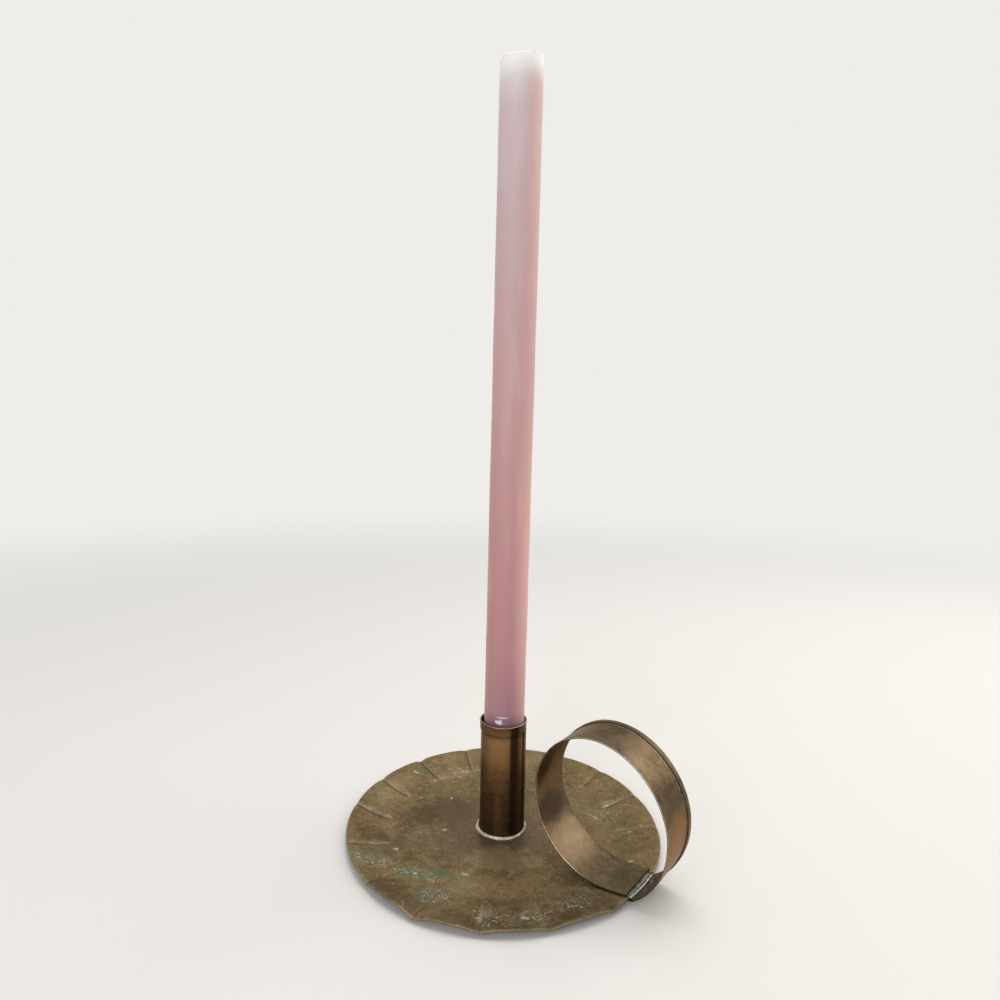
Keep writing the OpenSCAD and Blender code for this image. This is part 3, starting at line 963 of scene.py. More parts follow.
@dataclass
class DripPan:
    """Round pan of thin sheet, flat in the middle, with an upturned flange of pressed creases.

    Attributes:
        radius: radius of the rim.
        sheet: thickness of the sheet.
        flange: width of the flange.
        rim_rise: height of the rim half-way between two creases.
        knee: length of the bend from the flat into the flange.
        puff: how far the flange swells just beyond the knee.
        puff_end: distance from the flat at which the swelling ends.
        first_crease: even direction of the first crease about Z.
        creases: the creases, one after the other about Z.
        start_wall: width of a crease's wall at its inner end.
        crease_start: distance from the flat to a crease's inner end.
        crease_end: length over which its inner end runs out.
        sag: how far the flange sags towards a crease at the rim.
        stray: how far the hand-cut rim strays outwards beside the handle.
        stray_turn: direction of the widest stray.
        stray_reach: angle over which it dies away.
        lip: how far the sheet bulges beside a crease's inner end, as a share of its depth there.
        columns: columns of faces between two creases.
        finish: finish of the sheet.
    """

    radius: float = 82.5
    sheet: float = 0.8
    flange: float = 24.5
    rim_rise: float = 3.7
    knee: float = 4.0
    puff: float = 0.18
    puff_end: float = 11.0
    first_crease: float = 15.7
    creases: tuple[Crease, ...] = STRUCK
    start_wall: float = 2.4
    crease_start: float = 2.6
    crease_end: float = 1.0
    sag: float = 0.35
    stray: float = 2.2
    stray_turn: float = -28.0
    stray_reach: float = 50.0
    lip: float = 0.55
    columns: int = 28
    finish: PanBrass = field(default_factory=lambda: PanBrass(
        "pan_brass", tone=(108, 95, 62), deep=(62, 52, 36), rubbed=(134, 117, 82), tint=(109, 88, 61),
        pale=(162, 145, 108), bare=(146, 134, 116), grain_depth=0.8, metal=0.62, dullness=0.4))

    @property
    def flat(self) -> float:
        """Radius of the flat middle."""
        return self.radius - self.flange

    @property
    def slope(self) -> float:
        """Slope of the flange beyond its knee."""
        return self.rim_rise / (self.flange - self.knee / 2)

    def rise(self, out: float) -> float:
        """Height of the flange between two creases, at a distance out from the flat."""
        if out <= 0:
            return 0.0
        if out < self.knee:
            return self.slope * out * out / (2 * self.knee)
        return self.slope * (out - self.knee / 2)

    def strays(self, turn: float) -> float:
        """How far the rim strays outwards in a direction about Z, in degrees."""
        off = abs((turn - self.stray_turn + 180) % 360 - 180) / self.stray_reach
        return self.stray * math.cos(math.radians(90 * off)) ** 2 if off < 1 else 0.0

    def swell(self, out: float) -> float:
        """How far the flange swells above its straight slope, at a distance out from the flat."""
        share = out / self.puff_end
        return self.puff * math.sin(math.pi * share ** 0.75) ** 2 if 0 < share < 1 else 0.0

    def along(self, out: float) -> float:
        """Share of a crease's length that is passed at a distance out from the flat."""
        return min(max((out - self.crease_start) / (self.flange - self.crease_start), 0.0), 1.0)

    def pressed(self, out: float, across: float, crease: Crease) -> float:
        """How far the flange is pressed down beside a crease.

        Args:
            out: distance out from the flat.
            across: distance off the crease's line.
            crease: the crease.

        Returns:
            The depth there.
        """
        along = self.along(out)
        wall = self.start_wall + (crease.wall - self.start_wall) * along
        depth = min(self.rise(out) + self.swell(out), crease.start + (crease.rim - crease.start) * along)
        blunt = ease((out - self.crease_start) / self.crease_end)
        pleat = depth * blunt * max(0.0, 1 - across / wall) ** 1.2
        off = across / wall
        bulge = self.lip * crease.start * (1 - along) * ease((out - 1) / 2) * off * math.exp(1 - off)
        return pleat - bulge + self.sag * along ** 2 * max(0.0, 1 - across / (2.5 * wall))

    def stations(self) -> list[float]:
        """Radii of the rings of vertices, from the middle to the rim."""
        flat = [self.flat * i / 14 for i in range(14)]
        start = self.crease_start
        knee = [self.flat + out for out in (0.0, 1.0, 2.0, start, start + 0.4, start + 0.8, start + 1.2)]
        flange = [self.flat + start + 1.2 + (self.flange - start - 1.2) * i / 16 for i in range(1, 17)]
        return flat + knee + flange

    def press(self, bm: BMesh) -> None:
        """Moves the flat disc's vertices to the shape of the creased flange.

        Args:
            bm: the disc, spun from one spoke.
        """
        wear_and_highlight = bm.verts.layers.float.new(WEAR_AND_HIGHLIGHT)
        grime_and_shade = bm.verts.layers.float.new(GRIME_AND_SHADE)
        count = len(self.creases)
        step = 360 / count
        for vert in bm.verts:
            r = math.hypot(vert.co.x, vert.co.y)
            out = r - self.flat
            along = self.along(out)
            flute = math.degrees(math.atan2(vert.co.y, vert.co.x)) / step + 0.0001
            first = math.floor(flute)
            share = flute - first
            share -= 0.8 * math.sin(math.tau * share) / math.tau
            pair = [self.creases[i % count] for i in (first, first + 1)]
            turns = [self.first_crease + step * (first + i) + c.start_off + (c.rim_off - c.start_off) * along
                     for i, c in enumerate(pair)]
            turn = turns[0] + (turns[1] - turns[0]) * share
            aside = [math.radians(abs(turn - t)) * r for t in turns]
            near = 0 if share < 0.5 else 1
            pressed = self.pressed(out, aside[near], pair[near])
            corner = pair[near].reach * along ** 2 * max(0.0, 1 - aside[near] / pair[near].wall)
            reach = r + self.strays(turn) * max(out, 0) / self.flange + corner
            place = Vector((reach * math.cos(math.radians(turn)), reach * math.sin(math.radians(turn)), 0))
            uneven = 0.05 * (1 + ripple(place, 24, 3)) + 0.02 * (1 + ripple(place, 8, 5))
            level = self.rise(out) + self.swell(out) - pressed
            place.z = level + self.sheet + uneven * ease((r - 16) / 8)
            vert.co = place
            handled = ease((math.radians(abs(turn % 360 - 322.5)) * r - 14) / 4)
            crease = pair[near]
            # The back wall of a crease gets a band of painted highlight; the soiling in a crease spreads wider
            # over its front wall as painted shade.
            back = (turn - turns[near]) * math.cos(math.radians(turn)) > 0
            highlight_band = ease((aside[near] - 0.2) / 0.3) * (1 - ease((aside[near] - 1.1) / 1.2))
            highlight_band *= ease((out - self.crease_start) / 0.5) * (1 - 0.5 * along) * crease.rubbed * back
            vert[wear_and_highlight] = max(ease((r - self.radius + 0.1) / 0.1) * 0.45 * handled, highlight_band)
            dirt_and_shade = ease(pressed * 2.5) * (1 - ease(aside[near] / (0.45 if back else 1.8)))
            vert[grime_and_shade] = dirt_and_shade * (0.25 + 0.6 * ease(crease.start * 1.5))

    def build(self) -> bpy.types.Object:
        """Spins, presses and thickens the sheet.

        Returns:
            The finished pan.
        """
        bm = bmesh.new()
        turn_outline(bm, [(r, 0.0) for r in self.stations()], len(self.creases) * self.columns, closed=False)
        self.press(bm)
        top = bm.faces[:]
        under = bmesh.ops.duplicate(bm, geom=bm.verts[:] + bm.edges[:] + top)["geom"]
        under_verts = [g for g in under if isinstance(g, BMVert)]
        bmesh.ops.translate(bm, vec=(0, 0, -self.sheet), verts=under_verts)
        rim = [e for e in bm.edges if e.is_boundary]
        bmesh.ops.bridge_loops(bm, edges=rim)
        bmesh.ops.recalc_face_normals(bm, faces=bm.faces[:])
        bmesh.ops.bevel(bm, geom=rim, offset=0.16, offset_type="OFFSET", affect="EDGES", segments=2,
                        profile=0.5, material=-1)
        piece = Piece("pan_sheet", Body.CHAMBERSTICK, Slot.PAN, "drip_pan", crisp=50)
        return piece.hand_over(bm, self.finish.material())


@dataclass
class CandleSocket:
    """Tube of rolled sheet with its lap, its hemmed mouth, its turned-out foot and its solder.

    Attributes:
        bore: radius inside.
        sheet: thickness of the sheet.
        foot_z: height of the pan's upper face.
        height: height above the pan.
        hem: height of the hem folded outwards round the mouth.
        lap: width of the lap.
        lap_turn: direction of the lap's free edge about Z.
        flare: how far the foot turns outwards.
        flare_height: height of the turned-out foot.
        fillet: width of the solder fillet.
        fillet_height: height of the solder fillet.
        seam_film: thickness of the solder under the lap.
        columns: columns of faces round the tube.
        finish: finish of the sheet.
        solder: finish of the fillet.
    """

    bore: float = 11.4
    sheet: float = 0.45
    foot_z: float = 0.8
    height: float = 60.6
    hem: float = 4.8
    lap: float = 8.0
    lap_turn: float = -25.0
    flare: float = 0.5
    flare_height: float = 6.0
    fillet: float = 1.6
    fillet_height: float = 1.3
    seam_film: float = 0.1
    columns: int = 144
    finish: SocketBrass = field(default_factory=lambda: SocketBrass(
        "socket_brass", tone=(98, 74, 53), deep=(58, 44, 33), rubbed=(120, 94, 66), tint=(88, 67, 51),
        pale=(132, 104, 74), grain_depth=0.35, bare=(188, 168, 156), grain=Grain.UPRIGHT, metal=0.75,
        dullness=0.3))
    solder: Solder = field(default_factory=Solder)

    @property
    def outside(self) -> float:
        """Radius of the tube outside."""
        return self.bore + self.sheet

    @property
    def top(self) -> float:
        """Height of the mouth."""
        return self.foot_z + self.height

    def wall(self) -> list[Point]:
        """Outline of the sheet, from the foot up the inside, over the fold and down the outside."""
        t = self.sheet
        gap = 0.06
        fold = self.top - t - gap / 2
        foot = (self.foot_z, self.foot_z + self.flare_height)
        raw = self.top - self.hem
        hem_in = self.outside + gap
        points = fine_line((self.bore + self.flare, foot[0]), (self.bore, foot[1]), 1.0)
        points += fine_line((self.bore, foot[1]), (self.bore, fold), 3.0)
        points += fine_arc((self.outside + gap / 2, fold), t + gap / 2, 180, 0, 8)
        points += fine_line((hem_in + t, fold - 0.3), (hem_in + t, raw + 0.12), 1.2)
        points += [(hem_in + t, raw + 0.12), (hem_in + t - 0.12, raw), (hem_in, raw)]
        points += [(hem_in, fold - 0.1), (self.outside, fold - 0.1)]
        points += fine_line((self.outside, fold - 0.2), (self.outside, foot[1]), 3.0)
        points += fine_line((self.outside, foot[1]), (self.outside + self.flare, foot[0]), 1.0)
        return points + [(self.outside + self.flare, foot[0])]

    def soften(self, bm: BMesh) -> None:
        """Gives the tube the slight unevenness of rolled sheet and marks its worn mouth.

        Args:
            bm: the tube.
        """
        wear_and_highlight = bm.verts.layers.float.new(WEAR_AND_HIGHLIGHT)
        bm.verts.layers.float.new(GRIME_AND_SHADE)
        raw = self.top - self.hem
        for vert in bm.verts:
            place = vert.co.copy()
            r = math.hypot(place.x, place.y)
            swell = 1 + 0.006 * ripple(place, 22, 2) * ease((place.z - self.foot_z) / 20)
            swell += 0.003 * ripple(place, 6, 4) * ease((place.z - raw + 2) / 3)
            vert.co.xy = place.xy * swell
            if r > self.outside + 0.03 and abs(place.z - raw) < 0.2:
                vert.co.z += 0.18 * ripple(place, 5, 6)
            lip = ease((place.z - self.top + 2.5) / 2.5)
            vert.co.xy *= 1 + 0.25 * lip / self.outside
            vert[wear_and_highlight] = 0.8 * ease((place.z - self.top + 0.2) / 0.15)

    def add_lap(self, bm: BMesh) -> None:
        """Adds the sheet's outer end, lapped over the seam.

        Args:
            bm: the tube.
        """
        low = self.foot_z + self.flare_height * 0.4
        high = self.top - self.hem - 0.1
        inner = self.outside + self.seam_film
        flap = bmesh.new()
        line = fine_line((inner, low), (inner, high), 3.0) + [(inner, high)]
        verts, edges = join_line(flap, [Vector((r, 0, z)) for r, z in line], closed=False)
        turn = Matrix.Rotation(math.radians(self.lap_turn), 3, "Z")
        bmesh.ops.rotate(flap, cent=(0, 0, 0), matrix=turn, verts=verts)
        width = self.lap / self.outside
        ramp = math.radians(7)
        bmesh.ops.spin(flap, geom=verts + edges, cent=(0, 0, 0), axis=(0, 0, 1), dvec=(0, 0, 0),
                       angle=width + ramp, steps=18, use_merge=False)
        layer = bmesh.ops.duplicate(flap, geom=flap.verts[:] + flap.edges[:] + flap.faces[:])["geom"]
        outer = {g for g in layer if isinstance(g, BMVert)}
        start = math.radians(self.lap_turn)
        for vert in flap.verts:
            turned = math.atan2(vert.co.y, vert.co.x) - start
            sink = (self.seam_film + self.sheet) * ease((turned - width) / ramp)
            lift = self.sheet if vert in outer else 0.0
            r = inner + lift - sink
            uneven = 0.07 * ripple(Vector((0, 0, vert.co.z)), 14, 9) * (1 - ease(turned / width))
            vert.co.xy *= (r + uneven) / math.hypot(vert.co.x, vert.co.y)
        bmesh.ops.bridge_loops(flap, edges=[e for e in flap.edges if e.is_boundary])
        bmesh.ops.recalc_face_normals(flap, faces=flap.faces[:])
        crisp = [e for e in flap.edges if e.calc_face_angle(0) > 1.0]
        bmesh.ops.bevel(flap, geom=crisp, offset=0.07, offset_type="OFFSET", affect="EDGES", segments=2,
                        profile=0.5, material=-1)
        made = bpy.data.meshes.new("lap")
        flap.to_mesh(made)
        flap.free()
        bm.from_mesh(made)
        bpy.data.meshes.remove(made)

    def build_fillet(self) -> bpy.types.Object:
        """Spins the solder fillet and gives it the uneven width of hand soldering.

        Returns:
            The finished fillet.
        """
        bm = bmesh.new()
        inner = self.outside + self.flare + 0.04
        foot = self.foot_z + 0.02
        outer = inner + self.fillet
        slope = fine_arc((outer + 0.3, foot + self.fillet_height + 0.5), self.fillet * 1.15, -100, -172, 7)
        shoulder = (inner - 0.08, foot + self.fillet_height)
        turn_outline(bm, [(inner, foot), (outer + 0.5, foot)] + slope + [shoulder], self.columns)
        for vert in bm.verts:
            place = vert.co.copy()
            r = math.hypot(place.x, place.y)
            around = place * (inner / r)
            around.z = 0
            spread = max(0.0, (r - inner) / self.fillet)
            width = 0.62 + 0.2 * ripple(around, 9, 1) + 0.06 * ripple(around, 3, 5)
            turn = math.degrees(math.atan2(place.y, place.x)) % 360
            blob = 0.12 * math.exp(-((turn - 188) / 12) ** 2) - 0.2 * math.exp(-((turn - 340) / 40) ** 2)
            vert.co.xy = place.xy * (inner + (r - inner) * (width + blob * spread)) / r
            if place.z > foot + 0.01:
                vert.co.z = foot + (place.z - foot) * (0.62 + 0.12 * ripple(around, 7, 3))
        piece = Piece("socket_fillet", Body.CHAMBERSTICK, Slot.SOLDER, "socket_solder")
        return piece.hand_over(bm, self.solder.material())

    def build(self) -> bpy.types.Object:
        """Spins the tube, laps its seam and sets it in its solder.

        Returns:
            The finished tube.
        """
        bm = bmesh.new()
        turn_outline(bm, self.wall(), self.columns)
        self.soften(bm)
        self.add_lap(bm)
        tube = Piece("socket_tube", Body.CHAMBERSTICK, Slot.SOCKET, "candle_socket", crisp=35)
        made = tube.hand_over(bm, self.finish.material())
        self.build_fillet()
        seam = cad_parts["seam_solder"]
        seam.data.materials.clear()
        seam.data.materials.append(self.solder.material())
        return made


@dataclass
class RingHandle:
    """Finger ring of one strap, hemmed along its far edge and soldered on and under the rim.

    The ring is drawn in the handle's upright plane, with x outwards from the pan's middle.

    Attributes:
        pan: the pan that it is soldered to.
        width: width of the strap.
        sheet: thickness of the strap.
        hem: width of the hem.
        inner_bend: radius of the bend towards the socket.
        inner_sweep: angle of that bend.
        top_bend: radius over the top.
        top_sweep: angle of that bend.
        setback: distance from the rim back to where the ring leaves the flange.
        turn: direction of the handle about Z.
        shift: distance by which the strap sits beside the pan's radius.
        cut_back: distance from the rim back to the strap's cut end.
        tuck: length tucked beneath the flange.
        tuck_side: where the tucked end stops, across the strap.
        seat: space between the hem and the flange.
        finish: finish of the strap.
        solder: finish of its solder.
    """

    pan: DripPan
    width: float = 25.0
    sheet: float = 0.5
    hem: float = 3.6
    inner_bend: float = 36.3
    inner_sweep: float = 103.0
    top_bend: float = 33.1
    top_sweep: float = 106.0
    setback: float = 12.2
    turn: float = -37.5
    shift: float = -0.7
    cut_back: float = 2.9
    tuck: float = 6.0
    tuck_side: float = 8.5
    seat: float = 0.2
    # The strap's bare colour is that of the painted highlights along its edges.
    finish: StrapBrass = field(default_factory=lambda: StrapBrass(
        "strap_brass", tone=(94, 82, 63), deep=(60, 50, 37), rubbed=(121, 106, 82), tint=(92, 76, 55),
        pale=(134, 118, 92), grain_depth=0.4, bare=(238, 222, 196), metal=0.66, dullness=0.33, sheen=0.25))
    solder: Solder = field(default_factory=lambda: Solder(
        "strap_solder", bloom=(96, 92, 80), grey=(68, 65, 54), stain=(50, 47, 39)))

    def __post_init__(self) -> None:
        """Works out the three bends from the rim where the handle crosses it."""
        self.rim = self.pan.radius + self.pan.strays(self.turn)
        slope = self.pan.slope * self.pan.flange / (self.rim - self.pan.flat)
        self.tilt = math.degrees(math.atan(slope))
        land_x = self.rim - self.setback
        middle = self.pan.sheet + self.seat + self.sheet * 1.5
        land_z = middle + slope * (land_x - self.pan.flat) - self.pan.slope * self.pan.knee / 2
        self.land = Vector((land_x, land_z))
        self.landing = (self.setback - self.cut_back) / math.cos(math.radians(self.tilt))
        start = 270 + self.tilt
        inner_end = start - self.inner_sweep
        top_end = inner_end - self.top_sweep
        self.inner_centre = self.land - self.inner_bend * self.ray(start)
        self.top_centre = self.inner_centre + (self.inner_bend - self.top_bend) * self.ray(inner_end)
        last = self.top_centre + self.top_bend * self.ray(top_end)
        self.under_z = self.pan.rim_rise - self.seat - self.sheet / 2
        fall = Vector((self.rim, self.under_z)) - last
        self.outer_bend = -fall.dot(fall) / (2 * fall.dot(self.ray(top_end)))
        self.outer_centre = last - self.outer_bend * self.ray(top_end)
        drop = Vector((self.rim, self.under_z)) - self.outer_centre
        self.outer_sweep = top_end - math.degrees(math.atan2(drop.y, drop.x))

    @staticmethod
    def ray(turn: float) -> Vector:
        """Direction in the upright plane at an angle in degrees."""
        return Vector((math.cos(math.radians(turn)), math.sin(math.radians(turn))))

    def section(self) -> list[Point]:
        """Outline of the strap across its width: place across, and distance to the ring's outside."""
        half = self.sheet / 2
        side = self.width / 2
        gap = 0.07
        fold = self.sheet + gap / 2
        raw = side - self.hem
        crevice = side - fold - 0.1
        middle = half + gap / 2
        outline = [(-side, -half + 0.1), (-side + 0.1, -half), (-side + 0.2, -half)]
        outline += fine_line((-side + 0.26, -half), (side - fold, -half), 2.0)
        outline += fine_arc((side - fold, middle), fold, -90, 90, 8)
        outline += fine_line((side - fold - 0.3, middle + fold), (raw + 0.12, middle + fold), 1.5)
        outline += [(raw + 0.12, middle + fold), (raw, middle + fold - 0.12), (raw, half + gap)]
        outline += [(crevice, half + gap), (crevice, half)]
        outline += [(raw, half), (raw - 0.08, half), (raw - 0.12, half), (raw - 0.52, half)]
        outline += fine_line((raw - 0.56, half), (-side + 0.26, half), 2.0)
        return outline + [(-side + 0.26, half), (-side + 0.2, half), (-side + 0.1, half), (-side, half - 0.1)]

    def marked(self, across: float, out: float) -> tuple[float, float]:
        """Painted highlight and painted shade of a place on the strap's outline.

        Args:
            across: place across the strap.
            out: distance to the ring's outside.

        Returns:
            The painted highlight lines on the near edge's corners and beside the hem, and the painted shade,
            with some soiling, on the two raw edges.
        """
        side = self.width / 2
        raw = side - self.hem
        corner = -side + 0.05 < across < -side + 0.22
        beside_hem = abs(across - raw + 0.32) < 0.21 and out > 0
        near_face = across < -side + 0.05
        hem_face = abs(across - raw - 0.04) < 0.1
        return 0.9 * (corner or beside_hem), 1.0 * (near_face or hem_face)

    def into_place(self, bm: BMesh) -> None:
        """Turns a mesh from the handle's upright plane to the handle's direction."""
        bmesh.ops.translate(bm, vec=(0, self.shift, 0), verts=bm.verts[:])
        bmesh.ops.rotate(bm, cent=(0, 0, 0), matrix=Matrix.Rotation(math.radians(self.turn), 3, "Z"),
                         verts=bm.verts[:])

    def bend(self, bm: BMesh, geom: list, centre: Vector, sweep: float) -> list:
        """Carries the end of the strap round one bend.

        Args:
            bm: the strap.
            geom: vertices and edges of its end.
            centre: middle of the bend in the upright plane.
            sweep: angle of the bend, in degrees.

        Returns:
            The vertices and edges of the new end.
        """
        return bmesh.ops.spin(bm, geom=geom, cent=(centre.x, 0, centre.y), axis=(0, 1, 0), dvec=(0, 0, 0),
                              angle=math.radians(sweep), steps=round(sweep / 2),
                              use_merge=False)["geom_last"]

    def build_strap(self) -> bpy.types.Object:
        """Bends the hemmed strap through its three bends and tucks its end under the rim.

        Returns:
            The finished strap.
        """
        bm = bmesh.new()
        wear_and_highlight = bm.verts.layers.float.new(WEAR_AND_HIGHLIGHT)
        grime_and_shade = bm.verts.layers.float.new(GRIME_AND_SHADE)
        back = -self.ray(self.tilt)
        down = Vector((-back.y, back.x))
        start = self.land - back * self.landing
        section = self.section()
        places = []
        for across, out in section:
            spot = start + down * out
            places.append(Vector((spot.x, across, spot.y)))
        first, edges = join_line(bm, places, closed=True)
        for vert, (across, out) in zip(first, section):
            vert[wear_and_highlight], vert[grime_and_shade] = self.marked(across, out)
        for length in (0.25, self.landing - 0.25):
            laid = bmesh.ops.extrude_edge_only(bm, edges=edges)["geom"]
            moved = [g for g in laid if isinstance(g, BMVert)]
            ring = set(moved)
            edges = [g for g in laid if isinstance(g, BMEdge) and set(g.verts) <= ring]
            bmesh.ops.translate(bm, vec=(back.x * length, 0, back.y * length), verts=moved)
        # The cut end's face takes painted shade and no highlight.
        for vert in first:
            vert[wear_and_highlight], vert[grime_and_shade] = 0.0, 1.0
        last = moved + edges
        last = self.bend(bm, last, self.inner_centre, self.inner_sweep)
        last = self.bend(bm, last, self.top_centre, self.top_sweep)
        self.bend(bm, last, self.outer_centre, self.outer_sweep)
        close_ends(bm)
        self.roughen(bm)
        self.add_tuck(bm)
        self.into_place(bm)
        piece = Piece("ring_strap", Body.CHAMBERSTICK, Slot.STRAP, "ring_handle", crisp=35)
        return piece.hand_over(bm, self.finish.material())

    def roughen(self, bm: BMesh) -> None:
        """Gives the strap the slight waves of hand bending; its painted edge highlights fade out near the pan.

        Args:
            bm: the strap in its upright plane.
        """
        wear_and_highlight = bm.verts.layers.float[WEAR_AND_HIGHLIGHT]
        middle = Vector((self.inner_centre.x, 0, self.inner_centre.y))
        for vert in bm.verts:
            place = vert.co.copy()
            around = Vector((place.x, 0, place.z))
            free = ease((place.z - 5) / 12)
            away = (around - middle).normalized()
            wave = 0.16 * ripple(around, 20, 1) + 0.12 * ripple(place, 11, 2)
            vert.co += away * wave * free
            vert.co.y += (0.22 * ripple(around, 15, 4) + 0.06 * ripple(around, 4, 6)) * free
            if place.x < self.land.x:
                vert[wear_and_highlight] *= ease((place.z - 3.6) / 2)
            else:
                vert[wear_and_highlight] *= ease((place.z - 10) / 14)

    def add_tuck(self, bm: BMesh) -> None:
        """Adds the end of the strap that lies against the underside of the flange.

        Args:
            bm: the strap in its upright plane.
        """
        half = self.sheet / 2
        middle = (self.tuck_side - self.width / 2) / 2
        made = bmesh.ops.create_cube(bm, size=1.0)["verts"]
        size = Vector((self.tuck + half, self.tuck_side + self.width / 2, self.sheet))
        bmesh.ops.scale(bm, vec=size, verts=made)
        bmesh.ops.translate(bm, vec=(half - size.x / 2, middle, 0), verts=made)
        bmesh.ops.rotate(bm, cent=(0, 0, 0), matrix=Matrix.Rotation(-math.radians(self.tilt), 3, "Y"),
                         verts=made)
        bmesh.ops.translate(bm, vec=(self.rim, 0, self.under_z), verts=made)
        edges = list({e for v in made for e in v.link_edges})
        bmesh.ops.bevel(bm, geom=edges, offset=0.1, offset_type="OFFSET", affect="EDGES", segments=1,
                        profile=0.5, material=-1)

    def bead(self, bm: BMesh, outline: Sequence[Point], side: tuple[float, float], steps: int) -> None:
        """Runs an outline across the strap in small uneven steps.

        Args:
            bm: mesh that takes the bead, in the upright plane.
            outline: points of x and height.
            side: where it starts and ends across the strap.
            steps: number of steps.
        """
        verts, edges = join_line(bm, [Vector((x, side[0], z)) for x, z in outline], closed=True)
        for _ in range(steps):
            geom = bmesh.ops.extrude_edge_only(bm, edges=edges)["geom"]
            verts = [g for g in geom if isinstance(g, BMVert)]
            ring = set(verts)
            edges = [g for g in geom if isinstance(g, BMEdge) and set(g.verts) <= ring]
            bmesh.ops.translate(bm, vec=(0, (side[1] - side[0]) / steps, 0), verts=verts)
        close_ends(bm)

    def build_top_solder(self) -> bpy.types.Object:
        """Makes the bed beneath the strap's upper end and the bead along its cut edge.

        Returns:
            The finished solder.
        """
        bm = bmesh.new()
        under = -self.sheet / 2
        wear_and_highlight = bm.verts.layers.float.new(WEAR_AND_HIGHLIGHT)
        grime_and_shade = bm.verts.layers.float.new(GRIME_AND_SHADE)
        film = 0.04
        seat = under - self.sheet
        flange = seat - self.seat
        end = self.landing + self.cut_back - 0.75
        rise = ((0.1, 0.34), (0.35, 0.42), (0.8, 0.3), (1.3, 0.26), (1.8, 0.22))
        outline = [(0, seat), (self.landing, seat), (self.landing + film, flange - 0.08), (end, flange - 0.08)]
        outline += [(end - 0.02, flange + 0.12)]
        outline += [(self.landing + x, flange + z) for x, z in reversed(rise)]
        outline += [(self.landing + film, under - film), (0, under - film)]
        self.bead(bm, outline, (-self.width / 2 + 0.6, self.width / 2 - self.hem - film), 48)
        for vert in bm.verts:
            along = Vector((0, vert.co.y, 0))
            past = vert.co.x - self.landing
            if past > film * 2:
                # Painted shade along both sides of the bead, and painted highlight lines along its ridges.
                vert[grime_and_shade] = 0.9 if past < 0.2 or vert.co.x > end - 0.2 else 0.0
                vert[wear_and_highlight] = 0.35 if 0.3 < past < 0.4 or 1.2 < past < 1.4 else 0.0
                vert.co.x += 0.15 * ripple(along, 3, 2) * (vert.co.x < end - 0.2)
                vert.co.z += 0.06 * ripple(along, 2.2, 5)
        bmesh.ops.rotate(bm, cent=(0, 0, 0), matrix=Matrix.Rotation(-math.radians(self.tilt), 3, "Y"),
                         verts=bm.verts[:])
        bmesh.ops.translate(bm, vec=(self.land.x, 0, self.land.y), verts=bm.verts[:])
        self.into_place(bm)
        piece = Piece("strap_bed_solder", Body.CHAMBERSTICK, Slot.SOLDER, "handle_top_solder")
        return piece.hand_over(bm, self.solder.material())

    def inside_at(self, height: float) -> float:
        """Distance out of the strap's inner face at a height just above the rim."""
        radius = self.outer_bend - self.sheet / 2 - 0.03
        return self.outer_centre.x + math.sqrt(radius ** 2 - (self.outer_centre.y - height) ** 2)

    def build_rim_solder(self) -> bpy.types.Object:
        """Makes the bead in the corner between the rim and the strap that passes down beside it.

        Returns:
            The finished bead.
        """
        bm = bmesh.new()
        wear_and_highlight = bm.verts.layers.float.new(WEAR_AND_HIGHLIGHT)
        grime_and_shade = bm.verts.layers.float.new(GRIME_AND_SHADE)
        low = self.pan.rim_rise + self.pan.sheet * 0.4
        edge = self.pan.rim_rise + self.pan.sheet
        rim = self.rim
        outline = [(rim - 0.5, edge - 0.3), (rim - 0.3, low), (self.inside_at(low), low),
                   (self.inside_at(low + 0.15), low + 0.15), (rim + 0.8, edge - 0.3), (rim + 0.45, edge + 0.02),
                   (rim + 0.26, edge + 0.2), (rim + 0.12, edge + 0.28), (rim - 0.1, edge + 0.28),
                   (rim - 0.3, edge + 0.18), (rim - 0.6, edge - 0.05)]
        side = (-self.width / 2 + 0.2, self.width / 2 - self.hem)
        self.bead(bm, outline, side, 60)
        for vert in bm.verts:
            place = vert.co.copy()
            ends = ease((place.y - side[0]) / 3) * ease((side[1] - place.y) / 3)
            # Painted highlight along the ridge over the rim, and painted shade on both sides of it.
            vert[wear_and_highlight] = 0.8 if abs(place.x - rim - 0.02) < 0.25 else 0.0
            vert[grime_and_shade] = 1.0 if place.x > rim + 0.4 or place.x < rim - 0.45 else 0.0
            if 0.24 < abs(place.x - rim) < 0.4:
                vert[grime_and_shade] = 0.45
            if place.x < rim + 0.5:
                across = place.y + self.shift
                spread = 0.12 * ripple(Vector((0, place.y, 0)), 4.0, 3)
                vert.co.x += math.sqrt(rim ** 2 - across ** 2) - rim + spread
            if place.z > edge + 0.01:
                lump = 0.08 * ripple(Vector((0, place.y, 0)), 2.4, 7)
                vert.co.z = edge + (place.z - edge) * (0.3 + 0.7 * ends) + lump * ends
        self.into_place(bm)
        piece = Piece("strap_rim_solder", Body.CHAMBERSTICK, Slot.SOLDER, "handle_rim_solder")
        return piece.hand_over(bm, self.solder.material())

    def build(self) -> list[bpy.types.Object]:
        """Builds the strap and its two solder joints."""
        return [self.build_strap(), self.build_top_solder(), self.build_rim_solder()]


